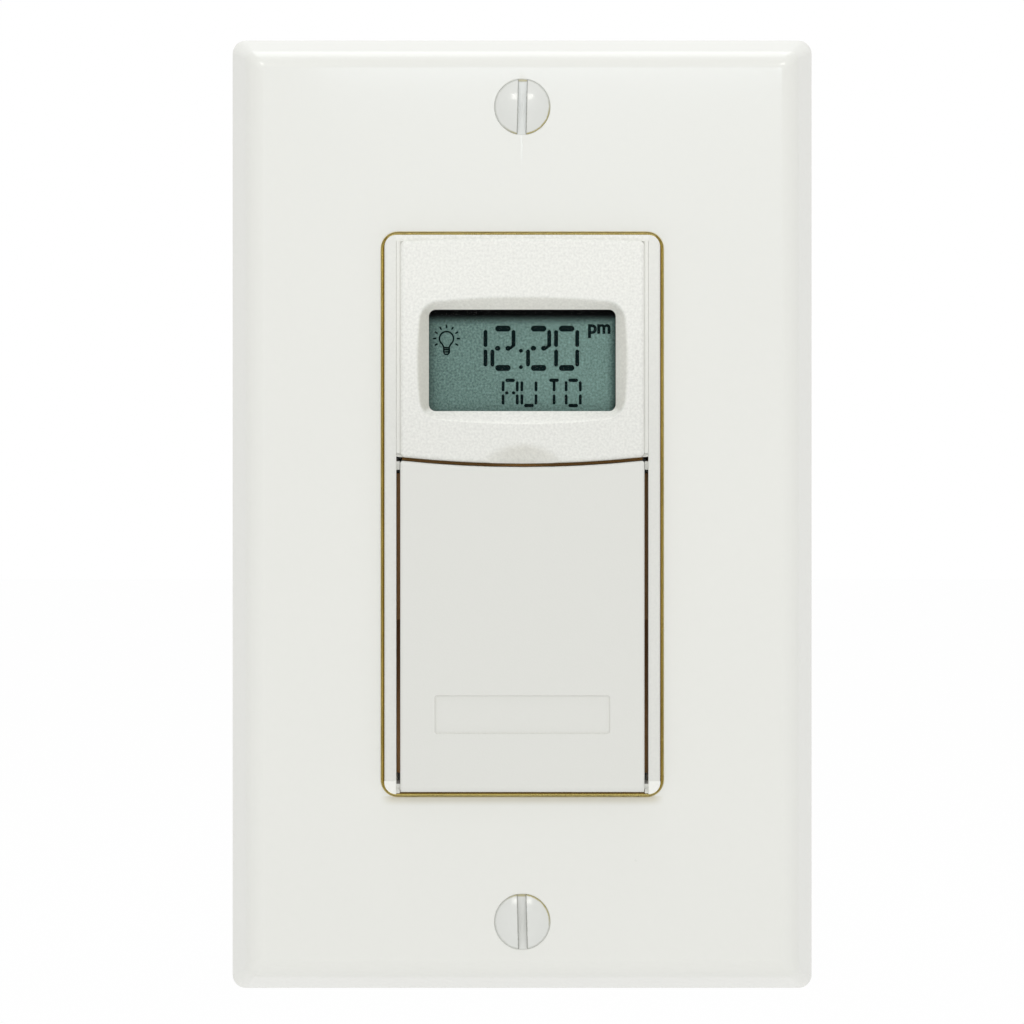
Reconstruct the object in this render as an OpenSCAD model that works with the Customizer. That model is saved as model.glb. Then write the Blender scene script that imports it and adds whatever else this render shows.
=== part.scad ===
// Timer light switch for a single wall box: a bevelled wall plate around a tall face,
// an LCD above, a hinged door below, and two circuit boards in a housing behind the wall.
// Each piece is drawn lying face up: x runs to the right, y runs up the wall and z runs
// out towards the viewer, with the wall at z = 0. stand_up() then turns it onto the wall.

/* [Wall plate] */
// Width of the wall plate
plate_w = 69.85; // [64:0.05:90]
// Height of the wall plate
plate_h = 114.3; // [110:0.1:140]
// How far the plate's flat face stands off the wall
plate_depth = 5.6; // [5.2:0.1:7]
// Wall thickness of the plate
plate_wall = 1.6; // [1.2:0.1:2]
// Corner radius of the plate's rim
plate_corner_r = 1.6; // [1:0.1:4]
// Straight height of the rim before the slope starts
plate_lip = 0.5; // [0.2:0.1:1]
// Angle of the sloping sides to the wall
plate_slope = 63; // [50:1:75]
// Radius between the sloping sides and the flat face
plate_edge_r = 2.7; // [1:0.1:4]
// Gap between the plate's opening and the face
face_gap = 0.45; // [0.3:0.05:0.8]

/* [Plate screws] */
// Distance of each plate screw from the end of the plate
plate_screw_inset = 8.75; // [8:0.05:10]
// Thread diameter of the plate screws
plate_screw_d = 3.5; // [3:0.1:4]
// Length of the plate screws below the plate's face
plate_screw_len = 12.7; // [9:0.1:20]
// Head diameter of the plate screws
plate_head_d = 6.6; // [6:0.1:7.5]
// Height of the domed top of the head
plate_head_dome = 0.9; // [0.5:0.1:1.2]
// Full angle of the countersunk side of the head
plate_head_angle = 82; // [80:1:100]
// Width of the driver slot
slot_w = 1.2; // [0.8:0.1:1.6]
// Depth of the driver slot
slot_depth = 1; // [0.6:0.1:1.4]

/* [Mounting strap] */
// Thickness of the steel strap
strap_t = 1.3; // [1:0.1:1.8]
// Width of the strap's two ears
strap_ear_w = 19; // [17:0.5:26]
// How far the strap runs past the plate screws
strap_tail = 4.1; // [3:0.1:5]
// Radius of the lobes beside each plate screw
strap_lobe_r = 4.1; // [3:0.1:5]
// How far the strap runs past the housing
strap_margin = 0.5; // [0:0.1:1.5]
// Distance between the two box screws
box_screw_pitch = 83.3; // [82:0.1:85]
// Clearance hole for a box screw
box_hole_d = 4.4; // [3.8:0.1:5]

/* [Face frame] */
// Width of the face
face_w = 32.6; // [32.4:0.1:36]
// Height of the face
face_h = 66.1; // [65:0.1:70]
// Corner radius of the face
face_corner_r = 1.5; // [0.8:0.1:2.5]
// Width of the rails beside the door
rail_w = 1.4; // [1.3:0.1:1.5]
// How far the rails stand past the wall plate
rail_proud = 1.4; // [1:0.1:2]
// How far the display panel stands past the rails
panel_step = 0.8; // [0.4:0.1:1.2]
// Wall thickness of the display panel
panel_wall = 1.6; // [1.3:0.1:1.8]
// Width of the groove between the raised panel and the rails
panel_groove = 0.5; // [0.3:0.05:0.6]
// Depth of the groove between panel and rails
groove_depth = 0.3; // [0.1:0.05:0.5]
// Distance from the top of the face to the raised panel
panel_top_margin = 0.42; // [0.3:0.02:0.8]
// How far the panel's top edge drops towards its ends
panel_top_sag = 0.36; // [0.2:0.02:0.8]
// Height of the middle of the panel's lower edge
panel_low_y = 6; // [5.6:0.1:6.4]
// Radius of the curved joint between panel and door
joint_r = 135; // [110:1:200]
// Rounding of the panel's front edges
panel_edge_r = 0.6; // [0.2:0.05:0.7]
// Rounding of the rails' front edges
rail_edge_r = 0.4; // [0.2:0.05:0.6]
// Thickness of the deck behind the door
deck_t = 1.7; // [1.4:0.1:2]
// Thickness of the flange that lies on the strap
flange_t = 1.5; // [1:0.1:1.8]
// Radius of the thumb scoop where it meets the panel
scoop_r = 5.2; // [4:0.1:6]
// How far the thumb scoop reaches up the panel
scoop_h = 2.6; // [2:0.1:3]
// Radius of the ball that shapes the scoop
scoop_ball_r = 9.5; // [8.5:0.5:30]

/* [Display] */
// Width of the clear opening over the LCD
window_w = 22.2; // [18:0.1:23]
// Height of the clear opening over the LCD
window_h = 12.1; // [9:0.1:13]
// Height of the middle of the opening
window_y = 18.2; // [18:0.05:18.4]
// Corner radius of the opening
window_corner_r = 0.8; // [0.4:0.1:1.5]
// Width of the sloped surround
surround_w = 24.6; // [23.6:0.1:26]
// Height of the sloped surround
surround_h = 14.8; // [13.6:0.1:16]
// Depth of the sloped surround
surround_depth = 0.9; // [0.5:0.1:1.1]
// Thickness of the clear window
lens_t = 1; // [0.7:0.1:1.2]
// Thickness of each film on the LCD
film_t = 0.25; // [0.15:0.05:0.35]
// Thickness of each glass of the LCD
glass_t = 0.8; // [0.55:0.05:1.1]
// Width of the LCD
lcd_w = 25.4; // [24.5:0.1:25.8]
// Height of the LCD
lcd_h = 18; // [17:0.1:18.4]
// Wall thickness of the LCD holder
holder_wall = 1.2; // [0.9:0.1:1.3]
// Thickness of the rubber contact strips
strip_t = 2; // [1.5:0.1:2.2]

/* [Door] */
// Gap between the door and the rails
door_gap = 0.5; // [0.4:0.05:0.6]
// Gap between the door and the panel above it
door_top_gap = 0.35; // [0.25:0.05:0.6]
// Thickness of the door
door_t = 1.6; // [1.3:0.1:1.8]
// Rounding of the door's front edges
door_edge_r = 0.4; // [0.2:0.05:0.6]
// Distance from the bottom of the face to the door
door_foot = 0.25; // [0.15:0.05:0.5]
// Diameter of the hinge pins moulded on the rails
hinge_pin_d = 1.1; // [0.9:0.05:1.2]
// Length of a hinge pin inside the door
hinge_grip = 0.6; // [0.4:0.05:0.8]
// Running clearance around a hinge pin
hinge_play = 0.06; // [0.03:0.01:0.09]
// Height of the hinge pins above the door's lower edge
hinge_rise = 0.85; // [0.8:0.05:1]
// Depth of the hinge pins behind the door's face
hinge_depth = 1.5; // [1.4:0.05:1.6]
// Rounding of the door's and the rails' lower end
hinge_round = 1.3; // [1.2:0.05:1.35]
// Width of the bare plaque on the door
plaque_w = 20.6; // [10:0.1:24]
// Height of the bare plaque on the door
plaque_h = 4.5; // [2:0.1:8]
// Height of the plaque's middle above the door's lower edge
plaque_rise = 9.2; // [6:0.1:20]
// Depth of the plaque
plaque_depth = 0.25; // [0.1:0.05:0.5]

/* [Buttons] */
// Width of the ON/OFF button
on_off_w = 20; // [12:0.5:20.5]
// Height of the ON/OFF button
on_off_h = 8; // [6:0.5:8.5]
// Corner radius of the ON/OFF button
on_off_r = 1.6; // [0.5:0.1:3]
// How far the ON/OFF button stands past the deck
on_off_proud = 1.9; // [1.2:0.1:2.1]
// Diameter of the small round buttons
small_button_d = 5.2; // [4:0.1:5.4]
// How far the small buttons stand past the deck
small_button_proud = 1.4; // [1:0.1:1.7]
// Distance between the small buttons
button_pitch = 6.8; // [6.8:0.1:7]
// Diameter of the sunk reset button
reset_d = 2.2; // [1.6:0.1:3]
// How far the reset button lies below the deck
reset_sink = 0.6; // [0.3:0.1:1]
// Gap around a button in the deck
button_gap = 0.2; // [0.15:0.05:0.3]
// How far a button's flange reaches past its hole
button_lip = 0.4; // [0.3:0.05:0.5]
// Thickness of a button's flange
button_flange_t = 0.8; // [0.6:0.1:1.2]
// Stroke of every button
button_stroke = 0.5; // [0.3:0.05:0.6]
// Width of a tact switch
tact_w = 6; // [4.5:0.1:6.2]
// Height of a tact switch's body
tact_h = 3.5; // [3:0.1:5]
// Diameter of a tact switch's plunger
plunger_d = 3.4; // [2:0.1:3.8]
// How far a plunger stands out of its switch
plunger_stand = 0.8; // [0.7:0.1:1.5]

/* [Battery] */
// Diameter of the lithium cell
cell_d = 15.6; // [14:0.1:16]
// Length of the lithium cell
cell_l = 27; // [24:0.1:27.2]
// Diameter of the cell's positive end
cell_nub_d = 6.4; // [5:0.1:9]
// Length of the cell's positive end
cell_nub_l = 0.8; // [0.5:0.1:1.5]
// Clearance around the cell
cell_gap = 0.2; // [0.1:0.05:0.25]
// Wall thickness of the battery tray
tray_wall = 0.8; // [0.7:0.05:0.85]
// Thickness of the tray's front
tray_front_t = 1.6; // [1.2:0.1:2]
// Clearance around the tray
tray_gap = 0.25; // [0.15:0.05:0.3]
// Height of the deck below the tray
tray_land = 1.95; // [1.6:0.05:2.2]
// Thickness of the contact springs
contact_t = 0.4; // [0.2:0.05:0.5]
// Width of the contact springs
contact_w = 5; // [3:0.1:7]

/* [Circuit boards] */
// Thickness of both boards
board_t = 1.6; // [1:0.1:2]
// Width of the control board
control_board_w = 29; // [28:0.1:29.6]
// Distance between the tray and the power board
power_gap = 0.6; // [0.4:0.1:2]
// Width of the microcontroller
chip_w = 10; // [7:0.5:12]
// Thickness of the microcontroller
chip_t = 1.4; // [1:0.1:2]
// Number of pins on each side of the microcontroller
chip_pins = 8; // [5:1:10]
// Distance between the header pins
header_pitch = 2.54; // [2:0.01:2.54]
// Number of header pins
header_count = 8; // [4:1:8]
// Height of the relay
relay_h = 14.6; // [12:0.1:18]
// Height of the film capacitor
film_cap_h = 13; // [8:0.1:14]
// Height of the electrolytic capacitor
can_h = 12; // [8:0.1:14]
// Diameter of the electrolytic capacitor
can_d = 8; // [5:0.1:8.5]
// Diameter of the varistor
varistor_d = 9.2; // [6:0.1:10]
// Diameter of the posts for the three leads
lead_post_d = 2.4; // [2.2:0.1:3]

/* [Rear housing] */
// How far the housing is wider than the face on each side
housing_lip_x = 5.7; // [5.5:0.1:6.5]
// How far the housing is taller than the face at each end
housing_lip_y = 1.95; // [1.8:0.05:3]
// Wall thickness of the housing
housing_wall = 1.8; // [1.4:0.1:2]
// Corner radius of the housing
housing_corner_r = 2.4; // [1:0.1:2.6]
// Chamfer around the housing's back
housing_chamfer = 1.2; // [0.5:0.1:1.5]
// Thickness of the ledge under the housing screws' heads
well_floor = 5; // [3:0.1:8]
// Diameter of the wells for the housing screws
well_d = 5.8; // [5.6:0.1:6]
// Wall thickness around the wells
well_wall = 1.2; // [1:0.1:1.25]
// Thread diameter of the housing screws
housing_screw_d = 2.9; // [2.5:0.1:3.2]
// Head diameter of the housing screws
housing_head_d = 5.2; // [4.4:0.1:5.3]
// Diameter of the three holes for the leads
lead_hole_d = 4.6; // [3:0.1:6]

/* [Hidden] */
$fa = 4;
$fs = 0.3;

// Colours
plate_white = [0.913, 0.917, 0.894];
face_white = [0.925, 0.929, 0.921];
door_white = [0.878, 0.882, 0.862];
zinc_yellow = [0.72, 0.60, 0.30];
steel_grey = [0.66, 0.67, 0.68];
clear_tint = [0.86, 0.90, 0.88];
lcd_green = [0.40, 0.50, 0.475];
film_grey = [0.46, 0.52, 0.50];
rubber_pink = [0.70, 0.55, 0.50];
board_green = [0.10, 0.32, 0.18];
part_black = [0.08, 0.08, 0.09];
key_grey = [0.55, 0.57, 0.58];
brass_gold = [0.78, 0.62, 0.28];
nickel_grey = [0.74, 0.73, 0.70];
cell_blue = [0.12, 0.22, 0.42];
relay_black = [0.10, 0.11, 0.13];
film_yellow = [0.80, 0.66, 0.16];
varistor_blue = [0.12, 0.26, 0.55];
resistor_green = [0.42, 0.55, 0.44];
housing_black = [0.13, 0.13, 0.14];

// Shared clearances and small sizes
sliver = 0.01;
past = 1;
fit_gap = 0.05;
rest_gap = 0.05;
slip_gap = 0.15;
loose_gap = 0.25;
part_gap = 0.9;
large_fn = 360;
hull_fn = 32;

// Levels from the strap out to the door's face
deck_back = strap_t;
deck_front = deck_back + deck_t;
flange_front = strap_t + flange_t;
plate_back = plate_depth - plate_wall;
rail_front = plate_depth + rail_proud;
panel_front = rail_front + panel_step;
panel_back = panel_front - panel_wall;
lens_back = panel_back - lens_t;
polariser_back = lens_back - film_t;
front_glass_back = polariser_back - glass_t;
rear_glass_back = front_glass_back - glass_t;
reflector_back = rear_glass_back - film_t;

// Levels from the deck back to the control board
stem_l = 0.15;
button_seat = deck_back - rest_gap;
button_base = button_seat - button_flange_t;
plunger_top = button_base - stem_l;
tact_top = plunger_top - plunger_stand;
board_front = tact_top - tact_h;
board_back = board_front - board_t;

// Levels from the battery back to the housing
cell_z = deck_front - tray_front_t - cell_gap - cell_d / 2;
tray_back = cell_z - cell_d / 2 - cell_gap - tray_wall;
power_front = tray_back - power_gap;
power_back = power_front - board_t;
tallest_part = max(relay_h, film_cap_h, can_h);
housing_floor = power_back - tallest_part - part_gap;
housing_back = housing_floor - housing_wall;

// Plate slope: a straight rim, a slope and a rounded edge, as [inset, level] pairs
edge_drop = plate_edge_r * (1 - cos(plate_slope));
slope_rise = plate_depth - plate_lip - edge_drop;
slope_inset = slope_rise / tan(plate_slope);
edge_steps = 6;
plate_levels = concat(
    [[0, sliver], [0, plate_lip]],
    [for (step = [0:edge_steps])
        let (lean = plate_slope * (1 - step / edge_steps))
        [slope_inset + plate_edge_r * (sin(plate_slope) - sin(lean)),
         plate_depth - plate_edge_r * (1 - cos(lean))]]);
corner_ease = 0.25;
least_corner_r = 0.6;

// Wall plate openings
opening_size = [face_w + 2 * face_gap, face_h + 2 * face_gap];
opening_r = face_corner_r + face_gap;
plate_boss_d = 8.4;
plate_hole_gap = 0.25;
plate_screw_pitch = plate_h - 2 * plate_screw_inset;
plate_screw_points = [for (end = [-1, 1]) [0, end * plate_screw_pitch / 2]];
box_screw_points = [for (end = [-1, 1]) [0, end * box_screw_pitch / 2]];
head_cone_h = (plate_head_d - plate_screw_d) / 2 / tan(plate_head_angle / 2);
head_ball_r = (pow(plate_head_d / 2, 2) + pow(plate_head_dome, 2)) / 2 / plate_head_dome;

// Face, panel and door
rail_inner = face_w / 2 - rail_w;
panel_half_w = rail_inner - panel_groove;
panel_top_y = face_h / 2 - panel_top_margin;
panel_top_r = (pow(panel_half_w, 2) + pow(panel_top_sag, 2)) / 2 / panel_top_sag;
joint_y = panel_low_y + joint_r;
door_half_w = rail_inner - door_gap;
door_joint_r = joint_r + door_top_gap;
door_side_y = joint_y - sqrt(pow(door_joint_r, 2) - pow(door_half_w, 2));
door_back = panel_front - door_t;
door_low_y = -face_h / 2 + door_foot;
hinge_y = door_low_y + hinge_rise;
hinge_z = panel_front - hinge_depth;
knuckle_spare = 0.2;
knuckle_w = 2 * hinge_round + knuckle_spare;
knuckle_h = 2 * hinge_round + knuckle_spare;
scoop_y = panel_low_y + scoop_h - scoop_r;
scoop_ball_z = panel_front + sqrt(pow(scoop_ball_r, 2) - pow(scoop_r, 2));
nub_gap = 0.1;
nub_h = 1;
nub_drop = 0.4;
latch_drop = 0.65;
latch_y = door_side_y - latch_drop;
rib_w = 1.1;
rib_depth = 1;
rib_low_y = door_low_y + knuckle_w;
press_angle = 1.5;
press_spare = 0.3;
boss_d = 4;

// Display stack
holder_w = lcd_w + 2 * (slip_gap + holder_wall);
holder_h = lcd_h + 2 * (slip_gap + holder_wall);
strip_gap = 0.6;
rear_glass_h = lcd_h - 2 * (strip_t + strip_gap);
film_margin = 0.4;
strip_y = lcd_h / 2 - strip_t / 2;
cavity_half_w = holder_w / 2 + loose_gap;
cavity_low_y = window_y - holder_h / 2 - loose_gap;
cavity_top_y = face_h / 2 - rail_w;
surround_power = 11;
window_power = 16;
surround_points = 64;
funnel_lap = 0.6;
funnel_depth = surround_depth * (1 + 2 * funnel_lap / (surround_w - window_w));

// Battery tray
tray_w = cell_l + 2 * (cell_gap + tray_wall);
tray_h = cell_d + 2 * (cell_gap + tray_wall);
tray_low_y = -face_h / 2 + tray_land + tray_gap;
tray_top_y = tray_low_y + tray_h;
tray_y = (tray_low_y + tray_top_y) / 2;
bay_wall = 0.8;
bay_reach = 11;
bay_half_w = tray_w / 2 + tray_gap;
contact_stand = 0.3;
contact_side_gap = 0.7;
contact_x = tray_w / 2 + contact_stand;
contact_notch = contact_w + 2 * contact_side_gap;
contact_bow_r = contact_x + contact_t - cell_l / 2 - fit_gap;
contact_foot_l = 3;
pull_r = 5;
pull_depth = 0.9;

// Buttons, from the tray upwards
board_margin = 0.3;
row_gap = 0.8;
bore_spare = 0.2;
board_low_y = tray_top_y + tray_gap + bay_wall + board_margin;
button_row_y = board_low_y + board_margin + tact_w / 2;
button_reach = button_gap + button_lip;
on_off_y = button_row_y + small_button_d / 2 + on_off_h / 2 + 2 * button_reach + row_gap;
row_count = 4;
row_x = [for (place = [0:row_count - 1]) (place - (row_count - 1) / 2) * button_pitch];
mode_point = [row_x[0], button_row_y];
plus_point = [row_x[1], button_row_y];
minus_point = [row_x[2], button_row_y];
reset_point = [row_x[3], button_row_y];
on_off_point = [0, on_off_y];
tact_points = [on_off_point, mode_point, plus_point, minus_point, reset_point];
stem_d = 3;
cap_edge = 0.4;
plunger_l = 2;

// A bead on the door's back that reaches for the ON/OFF button when the door is pressed
press_reach = (on_off_y - hinge_y + boss_d / 2) * tan(press_angle) + press_spare;
press_tip = deck_front + on_off_proud + press_reach;
bore_depth = plunger_l - plunger_stand + button_stroke + bore_spare;

// Control board and its posts
post_d = 2.8;
board_screw_d = 2;
board_head_d = 3.6;
board_head_h = 1.2;
board_screw_bite = 4;
post_bite = 0.3;
top_post_y = cavity_top_y + post_bite - post_d / 2;
top_post_x = 11.5;
low_post_x = 13;
low_post_rise = 6.3;
low_post_y = on_off_y + low_post_rise;
top_posts = [for (side = [-1, 1]) [side * top_post_x, top_post_y]];
low_posts = [for (side = [-1, 1]) [side * low_post_x, low_post_y]];
control_posts = concat(top_posts, low_posts);
board_top_y = cavity_top_y + slip_gap;
board_corner_r = 0.8;
chip_point = [0, 20];
chip_lead_l = 1;
chip_lead_w = 0.4;
crystal_point = [10, 12];
crystal_d = 3;
crystal_l = 8;
header_y = 3;
header_pin_w = 0.64;
header_strip_w = 2.5;
header_strip_h = 2.5;
header_points = [for (pin = [0:header_count - 1])
    [(pin - (header_count - 1) / 2) * header_pitch, header_y]];

// Housing and strap
housing_w = face_w + 2 * housing_lip_x;
housing_h = face_h + 2 * housing_lip_y;
well_inset_x = 2.8;
well_inset_y = 4.5;
well_x = housing_w / 2 - well_inset_x;
well_y = housing_h / 2 - well_inset_y;
well_points = [for (side = [-1, 1], end = [-1, 1]) [side * well_x, end * well_y]];
boss_gap = 0.4;
boss_wall = 1.1;
boss_end_t = 0.5;
boss_top = plate_back - boss_gap;
boss_outer_d = housing_screw_d + 2 * boss_wall;
screw_tip = boss_top - boss_end_t;
housing_head_h = 1.8;
cross_w = 0.8;
cross_depth = 1;
strap_window_gap = 0.4;
strap_window_half_w = max(bay_half_w, cavity_half_w) + strap_window_gap;
strap_window_half_h = max(-(tray_low_y - tray_gap - bay_wall), cavity_top_y) + strap_window_gap;
strap_r = 1.5;
strap_w = housing_w + 2 * strap_margin;
strap_body_h = housing_h + 2 * strap_margin;
strap_len = plate_screw_pitch + 2 * strap_tail;
lobe_hole_d = 3;
lobe_hole_x = strap_ear_w / 2 + lobe_hole_d / 3;
inner_half_w = housing_w / 2 - housing_wall;
inner_half_h = housing_h / 2 - housing_wall;

// Power board and what stands on it
power_board_half_w = inner_half_w - loose_gap;
power_board_half_h = inner_half_h - loose_gap;
power_notch_x = well_x - well_d / 2 - well_wall - loose_gap;
power_notch_y = well_y - well_d / 2 - well_wall - loose_gap;
power_post_d = 3.5;
power_post_x = inner_half_w - power_post_d / 2 - loose_gap;
power_post_y = -tray_y - contact_w / 2 - board_head_d / 2 - loose_gap;
power_posts = [for (side = [-1, 1], end = [-1, 1]) [side * power_post_x, end * power_post_y]];
relay_point = [-8, 11];
relay_size = [15.4, 19];
relay_base_h = 1.2;
film_cap_point = [8.5, 14];
film_cap_size = [8.5, 18];
can_point = [9, -1.5];
can_groove = 0.3;
can_groove_lift = 1;
varistor_point = [9, -11.5];
varistor_t = 4;
varistor_lift = 1.5;
varistor_wire_x = varistor_d / 4;
resistor_point = [-8, -3.5];
resistor_d = 4;
resistor_l = 10;
diode_y = -11.5;
diode_count = 4;
diode_pitch = 3.6;
diode_first_x = resistor_point.x - (diode_count - 1) / 2 * diode_pitch;
diode_d = 2.7;
diode_l = 5;
wire_d = 0.8;
wire_reach = 1.6;
wire_lift = 0.6;
lead_y = -21;
lead_pitch = 10;
lead_points = [for (place = [-1:1]) [place * lead_pitch, lead_y]];
lead_post_h = 6;
lead_post_foot_d = 4.4;
lead_post_foot_t = 0.8;
lead_post_bore_d = 1.6;
lead_collar_wall = 1.2;
lead_collar_h = 1.6;

// Ground point on the strap
ground_x = -6.2;
ground_drop = 3.2;
ground_point = [ground_x, -housing_h / 2 - ground_drop];
ground_ring_d = 5.2;
ground_tab_l = 6;
ground_tab_w = 2.4;
ground_t = 0.8;
ground_barrel_d = 3.2;
ground_barrel_bore = 2.2;
ground_barrel_l = 4.5;
rivet_d = 2.6;
rivet_head_d = 4.4;
rivet_head_h = 0.7;

// Helpers

// Turns a piece drawn face up so that it stands on the wall
module stand_up() rotate([90, 0, 0]) children();

// Puts a copy of its child at each point of a list
module at(points) for (point = points) translate([point.x, point.y, 0]) children();

// A rectangle with round corners, centred
module round_rect(size, r) {
    square([size.x - 2 * r, size.y], center = true);
    square([size.x, size.y - 2 * r], center = true);
    for (side = [-1, 1], end = [-1, 1])
        translate([side * (size.x / 2 - r), end * (size.y / 2 - r)]) circle(r);
}

// A plate with round corners between two levels
module slab(size, r, low, high)
    translate([0, 0, low]) linear_extrude(high - low) round_rect(size, r);

// A box between two opposite corners
module block(low, high) translate(low) cube(high - low);

// A round bar along z between two levels
module rod(d, low, high) translate([0, 0, low]) cylinder(h = high - low, d = d);

// A round bar along x between two places
module cross_rod(d, low, high)
    translate([low, 0, 0]) rotate([0, 90, 0]) cylinder(h = high - low, d = d);

// Draws a section of y and z along x
module along_x(low, high)
    translate([low, 0, 0]) rotate([90, 0, 90]) linear_extrude(high - low) children();

// Draws a section of x and z along y
module along_y(low, high)
    translate([0, high, 0]) rotate([90, 0, 0]) linear_extrude(high - low) children();

// A section that is flat below and has two round corners above
module crown(low_u, high_u, low_v, high_v, r_low, r_high) {
    translate([low_u, low_v])
        square([high_u - low_u, high_v - low_v - max(r_low, r_high)]);
    translate([low_u + r_low, low_v])
        square([high_u - low_u - r_low - r_high, high_v - low_v]);
    translate([low_u + r_low, high_v - r_low]) circle(r_low);
    translate([high_u - r_high, high_v - r_high]) circle(r_high);
    fill_u = r_low < r_high ? low_u : high_u - r_high;
    fill_r = min(r_low, r_high);
    translate([fill_u, low_v]) square([fill_r, high_v - low_v - fill_r]);
}

// A wide disc whose front rim is rounded
module round_disc(r, low, high, edge_r)
    translate([0, 0, low]) rotate_extrude($fn = large_fn) {
        square([r - edge_r, high - low]);
        square([r, high - low - edge_r]);
        translate([r - edge_r, high - low - edge_r]) circle(edge_r);
    }

// A wide disc that flares at the front, to cut a rounded hollow edge
module flare_disc(r, low, high, edge_r)
    translate([0, 0, low]) rotate_extrude($fn = large_fn) {
        square([r, high - low + past]);
        difference() {
            translate([r, high - low - edge_r]) square([edge_r, edge_r + past]);
            translate([r + edge_r, high - low - edge_r]) circle(edge_r);
        }
    }

// Points of a rectangle whose sides bow out a little
function bowed_outline(half_w, half_h, power) = [
    for (step = [0:surround_points - 1])
        let (turn = 360 * step / surround_points, across = cos(turn), up = sin(turn))
        [half_w * sign(across) * pow(abs(across), 2 / power),
         half_h * sign(up) * pow(abs(up), 2 / power)]];

// Wall plate

// The plate's bevelled outside, drawn in by an inset
module plate_form(inset) hull()
    for (level = plate_levels)
        translate([0, 0, level[1] - sliver]) linear_extrude(sliver)
            round_rect([plate_w - 2 * (level[0] + inset), plate_h - 2 * (level[0] + inset)],
                max(plate_corner_r - corner_ease * (level[0] + inset), least_corner_r),
                $fn = hull_fn);

// The cone under a plate screw's head, widened by a gap
module head_cone(gap)
    translate([0, 0, plate_depth - head_cone_h])
        cylinder(h = head_cone_h, d1 = plate_screw_d + 2 * gap, d2 = plate_head_d + 2 * gap);

module wall_plate() color(plate_white) difference() {
    union() {
        difference() {
            plate_form(0);
            translate([0, 0, -plate_wall]) plate_form(plate_wall);
        }
        at(plate_screw_points)
            rod(plate_boss_d, strap_t + slip_gap, plate_depth - plate_wall / 2);
    }
    slab(opening_size, opening_r, -past, plate_depth + past);
    at(plate_screw_points) {
        head_cone(fit_gap);
        rod(plate_screw_d + 2 * plate_hole_gap, -past, plate_depth - head_cone_h / 2);
        rod(plate_head_d + 2 * fit_gap, plate_depth - sliver, plate_depth + past);
    }
}

module plate_screws() color(plate_white) at(plate_screw_points) difference() {
    union() {
        intersection() {
            translate([0, 0, plate_depth + plate_head_dome - head_ball_r]) sphere(head_ball_r);
            rod(plate_head_d, plate_depth, plate_depth + plate_head_dome);
        }
        head_cone(0);
        rod(plate_screw_d, plate_depth - plate_screw_len, plate_depth - head_cone_h / 2);
    }
    block([-slot_w / 2, -plate_head_d, plate_depth + plate_head_dome - slot_depth],
        [slot_w / 2, plate_head_d, plate_depth + plate_head_dome + past]);
}

// Face frame

// The space that the rails and the panel's base may fill
module face_envelope() intersection() {
    slab([face_w, face_h], face_corner_r, strap_t, rail_front);
    along_y(-face_h, face_h)
        crown(-face_w / 2, face_w / 2, 0, rail_front, rail_edge_r, rail_edge_r);
    along_x(-face_w, face_w)
        crown(-face_h / 2, face_h / 2, 0, rail_front, hinge_round, rail_edge_r);
}

// Everything above the curved joint
module above_joint(r, low, high)
    translate([0, joint_y, low]) cylinder(h = high - low, r = r, $fn = large_fn);

module raised_panel() intersection() {
    along_y(0, face_h)
        crown(-panel_half_w, panel_half_w, deck_front, panel_front, panel_edge_r, panel_edge_r);
    translate([0, joint_y, 0]) round_disc(joint_r, deck_front, panel_front, panel_edge_r);
    translate([0, panel_top_y - panel_top_r, 0])
        round_disc(panel_top_r, deck_front, panel_front, panel_edge_r);
}

// The small white nubs that hold the door's upper corners
module door_nubs()
    for (side = [-1, 1])
        translate([side * (rail_inner - (door_gap - nub_gap) / 2), latch_y, 0])
            block([-(door_gap - nub_gap) / 2 - sliver, -nub_h / 2, deck_front - sliver],
                [(door_gap - nub_gap) / 2 + sliver, nub_h / 2, rail_front - nub_drop]);

// The pins on the rails that the door turns on
module hinge_pins()
    for (side = [-1, 1])
        translate([side * (rail_inner + (nub_gap - door_gap - hinge_grip) / 2), hinge_y, hinge_z])
            cross_rod(hinge_pin_d, -(hinge_grip + door_gap + nub_gap) / 2,
                (hinge_grip + door_gap + nub_gap) / 2);

// The grooves between the raised panel and the rails
module panel_grooves()
    for (side = [-1, 1])
        translate([side * (rail_inner - panel_groove / 2), 0, 0])
            block([-panel_groove / 2, panel_low_y, rail_front - groove_depth],
                [panel_groove / 2, panel_top_y - panel_top_sag, rail_front + past]);

// Walls that guide the battery tray
module bay_guides()
    for (low = [tray_low_y - tray_gap - bay_wall, tray_top_y + tray_gap])
        block([-tray_w / 2, low, deck_back - bay_reach],
            [tray_w / 2, low + bay_wall, deck_back + sliver]);

// The sloped surround and the clear opening of the display
module display_opening() translate([0, window_y, 0]) {
    hull() {
        translate([0, 0, panel_front]) linear_extrude(sliver)
            polygon(bowed_outline(surround_w / 2, surround_h / 2, surround_power));
        translate([0, 0, panel_front - funnel_depth]) linear_extrude(sliver)
            polygon(bowed_outline(window_w / 2 - funnel_lap, window_h / 2 - funnel_lap,
                window_power));
    }
    slab([window_w, window_h], window_corner_r, panel_back - past, panel_front + past);
}

// Holes in the deck for the five buttons
module button_holes() {
    low = deck_back - past;
    high = deck_front + past;
    translate([on_off_point.x, on_off_point.y, 0])
        slab([on_off_w + 2 * button_gap, on_off_h + 2 * button_gap],
            on_off_r + button_gap, low, high);
    at([mode_point, plus_point, minus_point]) rod(small_button_d + 2 * button_gap, low, high);
    at([reset_point]) rod(reset_d + 2 * button_gap, low, high);
}

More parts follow.
